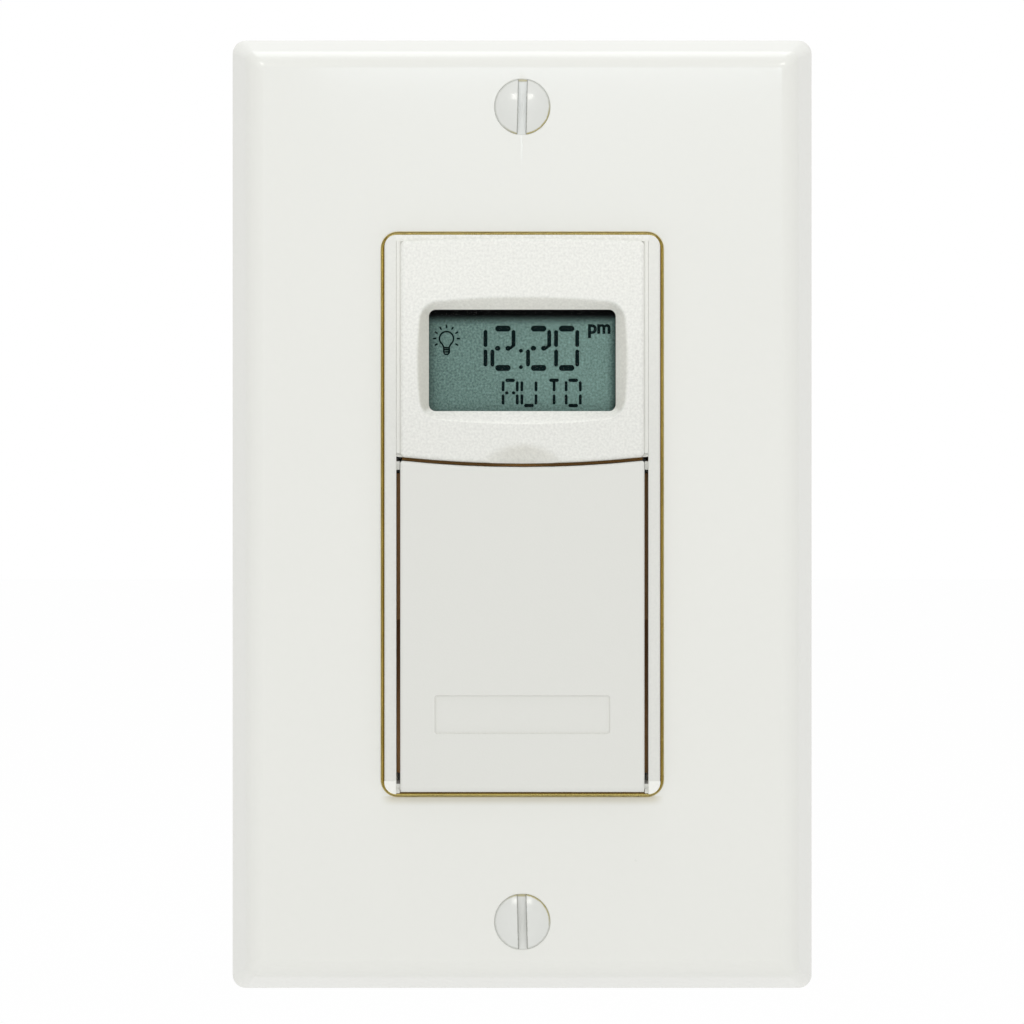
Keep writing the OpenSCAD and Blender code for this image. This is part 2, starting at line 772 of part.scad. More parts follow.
module front_frame() color(face_white) difference() {
    union() {
        slab([housing_w, housing_h], housing_corner_r, strap_t, flange_front);
        at(well_points) rod(boss_outer_d, strap_t, boss_top);
        difference() {
            intersection() {
                face_envelope();
                union() {
                    slab([face_w, face_h], face_corner_r, strap_t, deck_front);
                    above_joint(joint_r, strap_t, rail_front);
                    for (side = [-1, 1])
                        block([min(side * rail_inner, side * face_w), -face_h, strap_t],
                            [max(side * rail_inner, side * face_w), face_h, rail_front]);
                }
            }
            panel_grooves();
        }
        raised_panel();
        door_nubs();
        hinge_pins();
        bay_guides();
        at(low_posts) rod(post_d, board_front, deck_front - sliver);
        at(top_posts) rod(post_d, board_front, panel_back - sliver);
    }
    difference() {
        block([-cavity_half_w, cavity_low_y, board_front - past],
            [cavity_half_w, cavity_top_y, panel_back]);
        at(top_posts) rod(post_d, board_front - past, panel_back + past);
    }
    display_opening();
    translate([0, scoop_y, scoop_ball_z]) sphere(scoop_ball_r);
    button_holes();
    block([-bay_half_w, tray_low_y - tray_gap, deck_back - past],
        [bay_half_w, tray_top_y + tray_gap, deck_front + past]);
    at(well_points) rod(housing_screw_d + 2 * fit_gap, strap_t - past, screw_tip + slip_gap);
    at(control_posts)
        rod(board_screw_d + 2 * fit_gap, board_front - past, board_front + board_screw_bite);
}

// Door

// The door's section: a leaf that ends in a rounded knuckle around the pins
module door_section() {
    translate([door_low_y + knuckle_w / 2, door_back]) square([joint_r, door_t]);
    translate([door_low_y + knuckle_w / 2, panel_front - knuckle_h / 2])
        round_rect([knuckle_w, knuckle_h], hinge_round);
}

// The two bores in the door's sides that take the pins
module hinge_bores()
    for (side = [-1, 1])
        translate([side * door_half_w, hinge_y, hinge_z])
            cross_rod(hinge_pin_d + 2 * hinge_play, -(hinge_grip + nub_gap), hinge_grip + nub_gap);

module access_door() color(door_white) difference() {
    union() {
        intersection() {
            along_x(-door_half_w, door_half_w) door_section();
            along_y(-face_h, door_side_y + past)
                crown(-door_half_w, door_half_w, deck_front, panel_front,
                    door_edge_r, door_edge_r);
        }
        for (side = [-1, 1])
            block([side * (door_half_w - rib_w / 2) - rib_w / 2, rib_low_y, door_back - rib_depth],
                [side * (door_half_w - rib_w / 2) + rib_w / 2, door_side_y - past,
                    door_back + sliver]);
        translate([0, on_off_y, 0]) rod(boss_d, press_tip, door_back + sliver);
    }
    hinge_bores();
    translate([0, joint_y, 0])
        flare_disc(door_joint_r, deck_back, panel_front, door_edge_r);
    translate([0, door_low_y + plaque_rise, 0])
        block([-plaque_w / 2, -plaque_h / 2, panel_front - plaque_depth],
            [plaque_w / 2, plaque_h / 2, panel_front + past]);
}

// Display

// A flat sheet behind the display opening
module display_sheet(w, h, low, high)
    translate([0, window_y, 0])
        block([-w / 2, -h / 2, low], [w / 2, h / 2, high]);

module display_window() color(clear_tint) display_sheet(lcd_w, lcd_h, lens_back, panel_back);

module lcd_polariser() color(film_grey)
    display_sheet(lcd_w - 2 * film_margin, lcd_h - 2 * film_margin, polariser_back, lens_back);

module lcd_cell() color(lcd_green) {
    display_sheet(lcd_w, lcd_h, front_glass_back, polariser_back);
    display_sheet(lcd_w, rear_glass_h, rear_glass_back, front_glass_back + sliver);
}

module lcd_reflector() color(film_grey)
    display_sheet(lcd_w - 2 * film_margin, rear_glass_h - 2 * film_margin,
        reflector_back, rear_glass_back);

module lcd_holder() color(face_white) difference() {
    display_sheet(holder_w, holder_h, board_front, panel_back);
    display_sheet(lcd_w + 2 * slip_gap, lcd_h + 2 * slip_gap, reflector_back, panel_back + past);
    for (end = [-1, 1]) translate([0, end * strip_y, 0])
        display_sheet(lcd_w - 2 * film_margin + 2 * slip_gap, strip_t + 2 * slip_gap,
            board_front - past, panel_back);
}

module contact_strips() color(rubber_pink)
    for (end = [-1, 1]) translate([0, end * strip_y, 0])
        display_sheet(lcd_w - 2 * film_margin, strip_t, board_front, front_glass_back);

// Control board

// A small cheese-head screw that enters towards +z
module board_screw(face, tip) difference() {
    union() {
        rod(board_head_d, face - board_head_h, face);
        rod(board_screw_d, face - sliver, tip);
    }
    block([-board_head_d, -cross_w / 2, face - board_head_h - past],
        [board_head_d, cross_w / 2, face - board_head_h / 2]);
}

module control_board() color(board_green) difference() {
    translate([0, (board_low_y + board_top_y) / 2, 0])
        slab([control_board_w, board_top_y - board_low_y], board_corner_r,
            board_back, board_front);
    at(control_posts) rod(board_screw_d + 2 * fit_gap, board_back - past, board_front + past);
}

module control_board_screws() color(steel_grey)
    at(control_posts) board_screw(board_back, board_front + board_screw_bite - slip_gap);

module tact_switches() color(part_black) at(tact_points) difference() {
    block([-tact_w / 2, -tact_w / 2, board_front], [tact_w / 2, tact_w / 2, tact_top]);
    rod(plunger_d + 2 * fit_gap, tact_top - bore_depth, tact_top + past);
}

// Buttons

// A plunger that moves in a tact switch
module plunger(point) at([point]) rod(plunger_d, plunger_top - plunger_l, plunger_top);

// A round button with its flange and its stem
module round_button(point, d, top) at([point]) {
    rod(d - 2 * cap_edge, top - cap_edge - sliver, top);
    translate([0, 0, top - cap_edge]) rotate_extrude()
        translate([d / 2 - cap_edge, 0]) intersection() {
            circle(cap_edge);
            square(cap_edge);
        }
    rod(d, button_base, top - cap_edge);
    rod(d + 2 * button_reach, button_base, button_seat);
    rod(min(stem_d, d), plunger_top, button_base + sliver);
}

module on_off_button() color(key_grey) translate([on_off_point.x, on_off_point.y, 0]) {
    top = deck_front + on_off_proud;
    intersection() {
        slab([on_off_w, on_off_h], on_off_r, button_base, top);
        along_y(-on_off_h, on_off_h)
            crown(-on_off_w / 2, on_off_w / 2, button_base, top, cap_edge, cap_edge);
        along_x(-on_off_w, on_off_w)
            crown(-on_off_h / 2, on_off_h / 2, button_base, top, cap_edge, cap_edge);
    }
    slab([on_off_w + 2 * button_reach, on_off_h + 2 * button_reach],
        on_off_r + button_reach, button_base, button_seat);
    rod(stem_d, plunger_top, button_base + sliver);
}

module on_off_plunger() color(part_black) plunger(on_off_point);
module mode_button() color(key_grey)
    round_button(mode_point, small_button_d, deck_front + small_button_proud);
module mode_plunger() color(part_black) plunger(mode_point);
module plus_button() color(key_grey)
    round_button(plus_point, small_button_d, deck_front + small_button_proud);
module plus_plunger() color(part_black) plunger(plus_point);
module minus_button() color(key_grey)
    round_button(minus_point, small_button_d, deck_front + small_button_proud);
module minus_plunger() color(part_black) plunger(minus_point);
module reset_button() color(key_grey)
    round_button(reset_point, reset_d, deck_front - reset_sink);
module reset_plunger() color(part_black) plunger(reset_point);

// Parts on the control board

module microcontroller() color(part_black) at([chip_point]) {
    slab([chip_w, chip_w], board_corner_r, board_back - chip_t, board_back);
    pin_pitch = (chip_w - 2 * board_corner_r) / chip_pins;
    for (turn = [0:90:270], pin = [0:chip_pins - 1])
        rotate(turn) translate([0, (pin - (chip_pins - 1) / 2) * pin_pitch, 0])
            block([chip_w / 2 - sliver, -chip_lead_w / 2, board_back - chip_lead_w],
                [chip_w / 2 + chip_lead_l, chip_lead_w / 2, board_back]);
}

module clock_crystal() color(nickel_grey)
    translate([crystal_point.x - crystal_l / 2, crystal_point.y, board_back - crystal_d / 2])
        cross_rod(crystal_d, 0, crystal_l);

// A square pin of a header, widened by a gap
module header_pin(gap, low, high)
    block([-header_pin_w / 2 - gap, -header_pin_w / 2 - gap, low],
        [header_pin_w / 2 + gap, header_pin_w / 2 + gap, high]);

module header_strips() color(part_black) difference() {
    strip_half = header_count * header_pitch / 2;
    for (low = [board_back - header_strip_h, power_front])
        translate([0, header_y, 0])
            block([-strip_half, -header_strip_w / 2, low],
                [strip_half, header_strip_w / 2, low + header_strip_h]);
    at(header_points) header_pin(fit_gap, power_front - past, board_back + past);
}

module header_pins() color(brass_gold)
    at(header_points) header_pin(0, power_front, board_back);

// Battery

module battery_tray() color(face_white) difference() {
    union() {
        block([-tray_w / 2, tray_low_y, tray_back], [tray_w / 2, tray_y, deck_front]);
        block([-tray_w / 2, tray_low_y, deck_front - tray_front_t],
            [tray_w / 2, tray_top_y, deck_front]);
    }
    translate([0, tray_y, cell_z])
        cross_rod(cell_d + 2 * cell_gap, -(cell_l / 2 + cell_gap), cell_l / 2 + cell_gap);
    for (side = [-1, 1])
        translate([side * tray_w / 2, tray_y, 0])
            block([-tray_wall - cell_gap, -contact_notch / 2, tray_back - past],
                [tray_wall + cell_gap, tray_h, cell_z + contact_notch / 2]);
    translate([0, tray_top_y, deck_front + pull_r - pull_depth]) sphere(pull_r);
}

module battery_cell() color(cell_blue) translate([0, tray_y, cell_z]) {
    cross_rod(cell_d, -cell_l / 2, cell_l / 2 - cell_nub_l);
    cross_rod(cell_nub_d, cell_l / 2 - cell_nub_l - sliver, cell_l / 2);
}

// A contact spring: a foot on the board, an upright and a bow that meets the cell's end
module contact_spring() {
    reach = cell_z + contact_notch / 2 - contact_t;
    block([contact_x, -contact_w / 2, power_front], [contact_x + contact_t, contact_w / 2, reach]);
    block([contact_x, -contact_w / 2, power_front],
        [contact_x + contact_foot_l, contact_w / 2, power_front + contact_t]);
    along_y(-contact_w / 2, contact_w / 2) translate([contact_x + contact_t, cell_z])
        difference() {
            intersection() {
                circle(contact_bow_r);
                translate([-contact_bow_r, -contact_bow_r])
                    square([contact_bow_r, 2 * contact_bow_r]);
            }
            circle(contact_bow_r - contact_t);
        }
}

module battery_contacts() color(nickel_grey) translate([0, tray_y, 0]) {
    contact_spring();
    mirror([1, 0, 0]) contact_spring();
}

// Strap

module mounting_strap() color(zinc_yellow) difference() {
    linear_extrude(strap_t) {
        round_rect([strap_w, strap_body_h], strap_r);
        round_rect([strap_ear_w, strap_len], strap_r);
        for (side = [-1, 1]) translate([side * strap_ear_w / 2, 0])
            at(plate_screw_points) circle(strap_lobe_r);
    }
    slab([2 * strap_window_half_w, 2 * strap_window_half_h], strap_r, -past, strap_t + past);
    at(plate_screw_points) rod(plate_screw_d + 2 * fit_gap, -past, strap_t + past);
    at(box_screw_points) rod(box_hole_d, -past, strap_t + past);
    at(well_points) rod(housing_screw_d + 2 * loose_gap, -past, strap_t + past);
    at([ground_point]) rod(rivet_d + 2 * fit_gap, -past, strap_t + past);
    for (side = [-1, 1]) translate([side * lobe_hole_x, 0, 0])
        at(plate_screw_points) rod(lobe_hole_d, -past, strap_t + past);
}

module ground_terminal() color(brass_gold) at([ground_point]) difference() {
    union() {
        rod(ground_ring_d, -ground_t, 0);
        block([-ground_tab_l, -ground_tab_w / 2, -ground_t], [0, ground_tab_w / 2, 0]);
        translate([0, 0, -ground_barrel_d / 2])
            cross_rod(ground_barrel_d, -ground_tab_l - ground_barrel_l, -ground_tab_l + ground_t);
    }
    rod(rivet_d + 2 * fit_gap, -ground_t - past, past);
    translate([0, 0, -ground_barrel_d / 2])
        cross_rod(ground_barrel_bore, -ground_tab_l - ground_barrel_l - past, -ground_tab_l);
}

module ground_rivet() color(steel_grey) at([ground_point]) {
    rod(rivet_d, -ground_t - sliver, strap_t + sliver);
    rod(rivet_head_d, -ground_t - rivet_head_h, -ground_t);
    rod(rivet_head_d, strap_t, strap_t + rivet_head_h);
}

// Power board

module power_board() color(board_green) difference() {
    union() {
        slab([2 * power_board_half_w, 2 * power_notch_y], board_corner_r, power_back, power_front);
        slab([2 * power_notch_x, 2 * power_board_half_h], board_corner_r, power_back, power_front);
    }
    at(power_posts) rod(board_screw_d + 2 * fit_gap, power_back - past, power_front + past);
}

module power_board_screws() color(steel_grey) at(power_posts)
    translate([0, 0, power_front]) mirror([0, 0, 1])
        board_screw(0, board_t + board_screw_bite - slip_gap);

module relay() color(relay_black) at([relay_point]) {
    slab(relay_size, board_corner_r, power_back - relay_h, power_back - relay_base_h);
    slab(relay_size + [cap_edge, cap_edge], board_corner_r, power_back - relay_base_h - sliver,
        power_back);
}

module film_capacitor() color(film_yellow) at([film_cap_point])
    slab(film_cap_size, board_corner_r, power_back - film_cap_h, power_back);

module electrolytic_capacitor() color(part_black) at([can_point]) difference() {
    rod(can_d, power_back - can_h, power_back);
    translate([0, 0, power_back - 2 * can_groove]) rotate_extrude()
        translate([can_d / 2, -can_groove_lift]) circle(can_groove);
}

// A round body lying along x on two bent wires
module axial_part(d, l, lift) translate([0, 0, -lift]) {
    cross_rod(d, -l / 2, l / 2);
    cross_rod(wire_d, -l / 2 - wire_reach, l / 2 + wire_reach);
    for (side = [-1, 1]) translate([side * (l / 2 + wire_reach), 0, 0]) {
        sphere(d = wire_d);
        rod(wire_d, 0, lift);
    }
}

module varistor() color(varistor_blue)
    translate([varistor_point.x, varistor_point.y, power_back]) {
        translate([0, varistor_t / 2, -varistor_lift - varistor_d / 2]) rotate([90, 0, 0])
            cylinder(h = varistor_t, d = varistor_d);
        for (side = [-1, 1]) translate([side * varistor_wire_x, 0, 0])
            rod(wire_d, -varistor_lift - varistor_d / 2, 0);
    }

module fusible_resistor() color(resistor_green)
    translate([resistor_point.x, resistor_point.y, power_back])
        axial_part(resistor_d, resistor_l, resistor_d / 2 + wire_lift);

module rectifier_diodes() color(part_black)
    for (place = [0:diode_count - 1])
        translate([diode_first_x + place * diode_pitch, diode_y, power_back])
            rotate(90) axial_part(diode_d, diode_l, diode_d / 2 + wire_lift);

module lead_posts() color(brass_gold) at(lead_points) difference() {
    union() {
        rod(lead_post_foot_d, power_back - lead_post_foot_t, power_back);
        rod(lead_post_d, power_back - lead_post_h, power_back - sliver);
    }
    rod(lead_post_bore_d, power_back - lead_post_h - past, power_back - lead_post_foot_t);
}

// Rear housing

// Wells at the corners, open behind and at the sides, widened by a wall
module wells(wall, low, high)
    for (side = [-1, 1]) at([for (end = [-1, 1]) [side * well_x, end * well_y]]) {
        rod(well_d + 2 * wall, low, high);
        block([min(0, side * housing_w), -well_d / 2 - wall, low],
            [max(0, side * housing_w), well_d / 2 + wall, high]);
    }

// The housing's outside with a chamfered back
module housing_form() intersection() {
    slab([housing_w, housing_h], housing_corner_r, housing_back, 0);
    along_y(-housing_h, housing_h) housing_profile(housing_w / 2);
    along_x(-housing_w, housing_w) housing_profile(housing_h / 2);
}

module housing_profile(half) polygon([
    [-half, 0], [half, 0], [half, housing_back + housing_chamfer],
    [half - housing_chamfer, housing_back], [housing_chamfer - half, housing_back],
    [-half, housing_back + housing_chamfer]]);

module rear_housing() color(housing_black) difference() {
    union() {
        difference() {
            housing_form();
            difference() {
                block([-inner_half_w, -inner_half_h, housing_floor],
                    [inner_half_w, inner_half_h, past]);
                intersection() {
                    wells(well_wall, housing_floor - past, past);
                    block([-housing_w, -housing_h, housing_floor - past],
                        [housing_w, housing_h, 0]);
                }
            }
        }
        at(power_posts) rod(power_post_d, housing_floor - sliver, power_back);
        at(lead_points)
            rod(lead_hole_d + 2 * lead_collar_wall, housing_floor - sliver,
                housing_floor + lead_collar_h);
    }
    wells(0, housing_back - past, -well_floor);
    at(well_points) rod(housing_screw_d + 2 * loose_gap, -well_floor - past, past);
    at(power_posts)
        rod(board_screw_d + 2 * fit_gap, power_back - board_screw_bite, power_back + past);
    at(lead_points) rod(lead_hole_d, housing_back - past, housing_floor + lead_collar_h + past);
}

module housing_screws() color(steel_grey) at(well_points) difference() {
    union() {
        rod(housing_head_d, -well_floor - housing_head_h, -well_floor);
        rod(housing_screw_d, -well_floor - sliver, screw_tip);
    }
    for (turn = [0, 90]) rotate(turn)
        block([-housing_screw_d / 2, -cross_w / 2, -well_floor - housing_head_h - past],
            [housing_screw_d / 2, cross_w / 2, -well_floor - housing_head_h + cross_depth]);
}

stand_up() wall_plate();
stand_up() plate_screws();
stand_up() front_frame();
stand_up() display_window();
stand_up() access_door();
stand_up() lcd_polariser();
stand_up() lcd_cell();
stand_up() lcd_reflector();
stand_up() lcd_holder();
stand_up() contact_strips();
stand_up() control_board();
stand_up() control_board_screws();
stand_up() tact_switches();
stand_up() on_off_button();
stand_up() on_off_plunger();
stand_up() mode_button();
stand_up() mode_plunger();
stand_up() plus_button();
stand_up() plus_plunger();
stand_up() minus_button();
stand_up() minus_plunger();
stand_up() reset_button();
stand_up() reset_plunger();
stand_up() microcontroller();
stand_up() clock_crystal();
stand_up() header_strips();
stand_up() header_pins();
stand_up() battery_tray();
stand_up() battery_cell();
stand_up() battery_contacts();
stand_up() mounting_strap();
stand_up() ground_terminal();
stand_up() ground_rivet();
stand_up() power_board();
stand_up() power_board_screws();
stand_up() relay();
stand_up() film_capacitor();
stand_up() electrolytic_capacitor();
stand_up() varistor();
stand_up() fusible_resistor();
stand_up() rectifier_diodes();
stand_up() lead_posts();
stand_up() rear_housing();
stand_up() housing_screws();
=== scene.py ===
"""Looks of a timer light switch for a wall box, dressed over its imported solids.

Each new piece is modelled lying on its back in millimetres: x to the right, y up the wall and z
towards the viewer. It is then stood up into the frame, which has x to the right, y into the wall
and z up, in metres.
"""

import logging
import math
from abc import ABC, abstractmethod
from collections.abc import Callable, Sequence
from dataclasses import dataclass
from enum import Enum
from functools import cache, cached_property
from typing import Self

import bmesh
import bpy
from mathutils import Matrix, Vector


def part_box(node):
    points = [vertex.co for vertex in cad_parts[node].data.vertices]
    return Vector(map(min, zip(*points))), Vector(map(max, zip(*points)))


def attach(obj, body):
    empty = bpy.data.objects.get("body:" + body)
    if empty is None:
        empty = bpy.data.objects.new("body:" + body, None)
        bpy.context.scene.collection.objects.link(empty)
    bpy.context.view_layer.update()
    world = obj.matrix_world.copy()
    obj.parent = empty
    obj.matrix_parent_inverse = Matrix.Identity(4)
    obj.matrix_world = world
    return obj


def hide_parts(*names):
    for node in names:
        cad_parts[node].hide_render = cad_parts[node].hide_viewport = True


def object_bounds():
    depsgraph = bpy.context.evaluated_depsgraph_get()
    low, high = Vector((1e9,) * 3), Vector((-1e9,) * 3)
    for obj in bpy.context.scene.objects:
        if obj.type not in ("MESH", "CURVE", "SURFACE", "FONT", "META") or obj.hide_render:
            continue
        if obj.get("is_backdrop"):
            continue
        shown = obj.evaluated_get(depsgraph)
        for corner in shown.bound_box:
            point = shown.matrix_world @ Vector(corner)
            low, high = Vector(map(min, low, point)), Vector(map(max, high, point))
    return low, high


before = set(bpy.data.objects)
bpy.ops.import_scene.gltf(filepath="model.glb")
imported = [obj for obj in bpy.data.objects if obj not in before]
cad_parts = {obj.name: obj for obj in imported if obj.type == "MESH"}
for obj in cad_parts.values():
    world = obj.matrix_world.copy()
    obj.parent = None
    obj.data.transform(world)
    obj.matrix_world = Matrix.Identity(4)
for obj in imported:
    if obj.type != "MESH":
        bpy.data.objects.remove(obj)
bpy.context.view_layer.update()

LOG = logging.getLogger("timer_switch")
MM = 0.001
# Softness of a mask's edge and overrun of a cutting tool, in millimetres.
EASE = 0.05
PAST = 1.0
# Least part of an edge's direction for it to count as along an axis.
ALONG = 0.9
SIDES = (-1, 1)
CAPITAL = 0.69
LETTER_STEPS = 6
ROUND_STEPS = 8
CORNER_STEPS = 8
SIDE_STEPS = 8
RING_POINTS = 4 * (CORNER_STEPS + SIDE_STEPS)
TURNED_SIDES = 48
MERGE = MM / 1000
FLAT_ANGLE = 0.5
FLAT_WEIGHT = 80
Ring = list[Vector]
Pair = tuple[float, float]
Triple = tuple[float, float, float]
Tone = tuple[int, int, int]


class Body(Enum):
    """Bodies of the frame that a piece can ride on."""

    SWITCH = "switch_body"
    DOOR = "door"
    ON_OFF = "on_off"
    MODE = "mode"
    PLUS = "plus"
    MINUS = "minus"
    RESET = "reset"


class Axis(Enum):
    """Axes, by the names that a Separate XYZ node has for them."""

    X = "X"
    Y = "Y"
    Z = "Z"


def linear(tone: Tone) -> tuple[float, float, float, float]:
    """Turns a colour as seen on a screen into the values that a shader takes.

    Args:
        tone: Red, green and blue from 0 to 255.

    Returns:
        Linear red, green and blue, and an alpha of 1.
    """
    def straight(part: float) -> float:
        """Undoes the screen's curve for one channel."""
        return part / 12.92 if part <= 0.04045 else ((part + 0.055) / 1.055) ** 2.4

    red, green, blue = (straight(channel / 255) for channel in tone)
    return red, green, blue, 1.0


def lying_box(node: str) -> tuple[Vector, Vector]:
    """Gives the box of a CAD node as it lies on its back.

    Args:
        node: Name of the CAD node.

    Returns:
        The lowest and the highest corner, in millimetres.
    """
    low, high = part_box(node)
    return Vector((low.x, low.z, -high.y)) / MM, Vector((high.x, high.z, -low.y)) / MM


@dataclass(frozen=True)
class SharedSizes:
    """Sizes in millimetres that several pieces and finishes go by."""

    opening_half: Pair = (16.75, 33.5)
    face_half: Pair = (16.3, 33.05)
    ring_half: Pair = (16.36, 33.11)
    ring_r: float = 1.56
    rail_inner: float = 14.9
    door_half_w: float = 14.4
    joint_up: float = 141.0
    joint_r: float = 135.0
    window_up: float = 18.2
    window_half: Pair = (11.1, 6.05)
    surround_half: Pair = (12.0, 6.9)
    surround_bow: Pair = (0.5, 0.75)
    scoop_up: float = 1.5
    scoop_r: float = 7.2
    screw_d: float = 3.5
    head_d: float = 6.6
    head_angle: float = 82.0

    @property
    def plate_front(self) -> float:
        """Gives how far the plate stands out from the wall."""
        return lying_box("wall_plate")[1].z

    @property
    def screw_up(self) -> float:
        """Gives the height of the upper plate screw above the middle."""
        return lying_box("plate_screws")[1].y - self.head_d / 2

    @property
    def cone_h(self) -> float:
        """Gives the height of the cone under a plate screw's head."""
        return (self.head_d - self.screw_d) / 2 / math.tan(math.radians(self.head_angle / 2))

    def joint(self, across: float, more: float = 0.0) -> float:
        """Gives the height of the curve between panel and door, with its radius made larger."""
        return self.joint_up - math.sqrt((self.joint_r + more) ** 2 - across ** 2)

    @property
    def surround_curve(self) -> Pair:
        """Gives how fast the bowed sides and ends of the window's surround fall back from their middles."""
        (half_w, half_h), (side, end) = self.surround_half, self.surround_bow
        return side / half_h ** 2, end / half_w ** 2


SIZES = SharedSizes()


class Sock:
    """A shader value that takes part in plain arithmetic."""

    def __init__(self, shader: "Shader", socket: bpy.types.NodeSocket) -> None:
        """Keeps the socket and the shader that it belongs to."""
        self.shader = shader
        self.socket = socket

    def math(self, operation: str, first: "Value", second: "Value" = 0.0) -> "Sock":
        """Adds a Math node.

        Args:
            operation: The node's operation.
            first: The value of its first socket.
            second: The value of its second socket.

        Returns:
            The node's result.
        """
        return self.shader.node("ShaderNodeMath", {"operation": operation}, {0: first, 1: second})

    def __add__(self, other: "Value") -> "Sock":
        """Adds a value."""
        return self.math("ADD", self, other)

    def __sub__(self, other: "Value") -> "Sock":
        """Takes a value away."""
        return self.math("SUBTRACT", self, other)

    def __rsub__(self, other: "Value") -> "Sock":
        """Takes this value away from a number."""
        return self.math("SUBTRACT", other, self)

    def __mul__(self, other: "Value") -> "Sock":
        """Multiplies by a value."""
        return self.math("MULTIPLY", self, other)

    def __truediv__(self, other: "Value") -> "Sock":
        """Divides by a value."""
        return self.math("DIVIDE", self, other)

    __radd__ = __add__
    __rmul__ = __mul__

    def __neg__(self) -> "Sock":
        """Turns the sign round."""
        return 0.0 - self

    def __abs__(self) -> "Sock":
        """Leaves the sign out."""
        return self.math("ABSOLUTE", self)

    def sign(self) -> "Sock":
        """Gives 1 for a positive value and -1 for a negative one."""
        return self.math("SIGN", self)

    def cycle(self) -> "Sock":
        """Keeps only what follows the decimal point."""
        return self.math("FRACT", self)

    def larger(self, other: "Value") -> "Sock":
        """Gives the larger of two values."""
        return self.math("MAXIMUM", self, other)

    def span(self, other: "Sock") -> "Sock":
        """Gives the straight distance over two distances at a right angle."""
        return self.math("SQRT", self * self + other * other)

    def rise(self, low: float, high: float) -> "Sock":
        """Goes smoothly from 0 at one value to 1 at another.

        Args:
            low: Value at which the result is 0.
            high: Value at which the result is 1.

        Returns:
            The eased result.
        """
        return self.shader.node(
            "ShaderNodeMapRange", {"interpolation_type": "SMOOTHSTEP"},
            {"Value": self, "From Min": low, "From Max": high})

    def step(self, at: float, ease: float = EASE) -> "Sock":
        """Goes from 0 to 1 around a value, with the given ease before and after it."""
        return self.rise(at - ease, at + ease)

    def within(self, low: float, high: float) -> "Sock":
        """Gives 1 between two values and 0 outside them."""
        return self.step(low) * (1 - self.step(high))


Value = Sock | float | tuple[float, ...]


class Shader:
    """The node tree of a material or of the world."""

    def __init__(self, owner: bpy.types.Material | bpy.types.World) -> None:
        """Starts with the owner's plain surface.

        Args:
            owner: The material or world.
        """
        owner.use_nodes = True
        self.owner = owner
        self.tree = owner.node_tree
        self.surface = next(n for n in self.tree.nodes if n.type in ("BSDF_PRINCIPLED", "BACKGROUND"))

    def node(self, kind: str, settings: dict[str, object] | None = None,
             values: dict[str | int, Value] | None = None, output: str | int = 0) -> Sock:
        """Adds a node.

        Args:
            kind: The node's type.
            settings: Settings of the node, which are made first.
            values: Numbers or links for its sockets.
            output: The output to return.

        Returns:
            One output of the node.
        """
        made = self.tree.nodes.new(kind)
        for key, setting in (settings or {}).items():
            setattr(made, key, setting)
        for key, value in (values or {}).items():
            self.feed(made.inputs[key], value)
        return Sock(self, made.outputs[output])

    def feed(self, socket: bpy.types.NodeSocket, value: Value) -> None:
        """Links a value to a socket, or sets it there.

        Args:
            socket: The socket to fill.
            value: A link, a number or a row of numbers.
        """
        if isinstance(value, Sock):
            self.tree.links.new(value.socket, socket)
        else:
            socket.default_value = value

    def place(self, axis: Axis) -> Sock:
        """Gives where a point of the piece lies along an axis, in millimetres."""
        where = self.node("ShaderNodeTexCoord", output="Object")
        return self.node("ShaderNodeSeparateXYZ", None, {0: where}, axis.value) / MM

    @cached_property
    def right(self) -> Sock:
        """Gives how far a point of the piece lies to the right."""
        return self.place(Axis.X)

    @cached_property
    def across(self) -> Sock:
        """Gives how far a point of the piece is from the middle line."""
        return abs(self.right)

    @cached_property
    def up(self) -> Sock:
        """Gives the height of a point of the piece."""
        return self.place(Axis.Z)

    @cached_property
    def out(self) -> Sock:
        """Gives how far a point of the piece stands out from the wall."""
        return -self.place(Axis.Y)

    def noise(self, size: float, detail: float = 2.0, stretch: Triple = (1.0, 1.0, 1.0)) -> Sock:
        """Adds a cloudy pattern.

        Args:
            size: Size of a cloud in millimetres.
            detail: How many finer layers it has.
            stretch: How much longer a cloud is along each axis.

        Returns:
            A value around 0.
        """
        where = self.node("ShaderNodeTexCoord", output="Object")
        scale = tuple(1 / (size * MM * longer) for longer in stretch)
        spread = self.node("ShaderNodeMapping", None, {"Vector": where, "Scale": scale})
        cloud = self.node("ShaderNodeTexNoise", None,
                          {"Vector": spread, "Scale": 1.0, "Detail": detail}, "Fac")
        return cloud - 0.5

    def tint(self, tone: Tone, strength: Value) -> Sock:
        """Makes a colour lighter or darker.

        Args:
            tone: The colour.
            strength: What it is multiplied by.

        Returns:
            The new colour.
        """
        return self.node("ShaderNodeVectorMath", {"operation": "SCALE"},
                         {0: linear(tone)[:3], "Scale": strength})

    def blend(self, share: Value, first: Value, second: Value) -> Sock:
        """Mixes two colours.

        Args:
            share: How much of the second colour there is.
            first: The first colour.
            second: The second colour.

        Returns:
            The mixed colour.
        """
        return self.node("ShaderNodeMix", {"data_type": "RGBA"}, {0: share, 6: first, 7: second}, 2)

    def relief(self, height: Sock, depth: float) -> Sock:
        """Turns a height into a slope of the surface.

        Args:
            height: The height, as a share of the depth.
            depth: How deep the relief is, in millimetres.

        Returns:
            A normal.
        """
        return self.node("ShaderNodeBump", None, {"Distance": depth * MM, "Height": height})

    def finish(self, values: dict[str, Value]) -> None:
        """Sets the sockets of the surface."""
        for key, value in values.items():
            self.feed(self.surface.inputs[key], value)


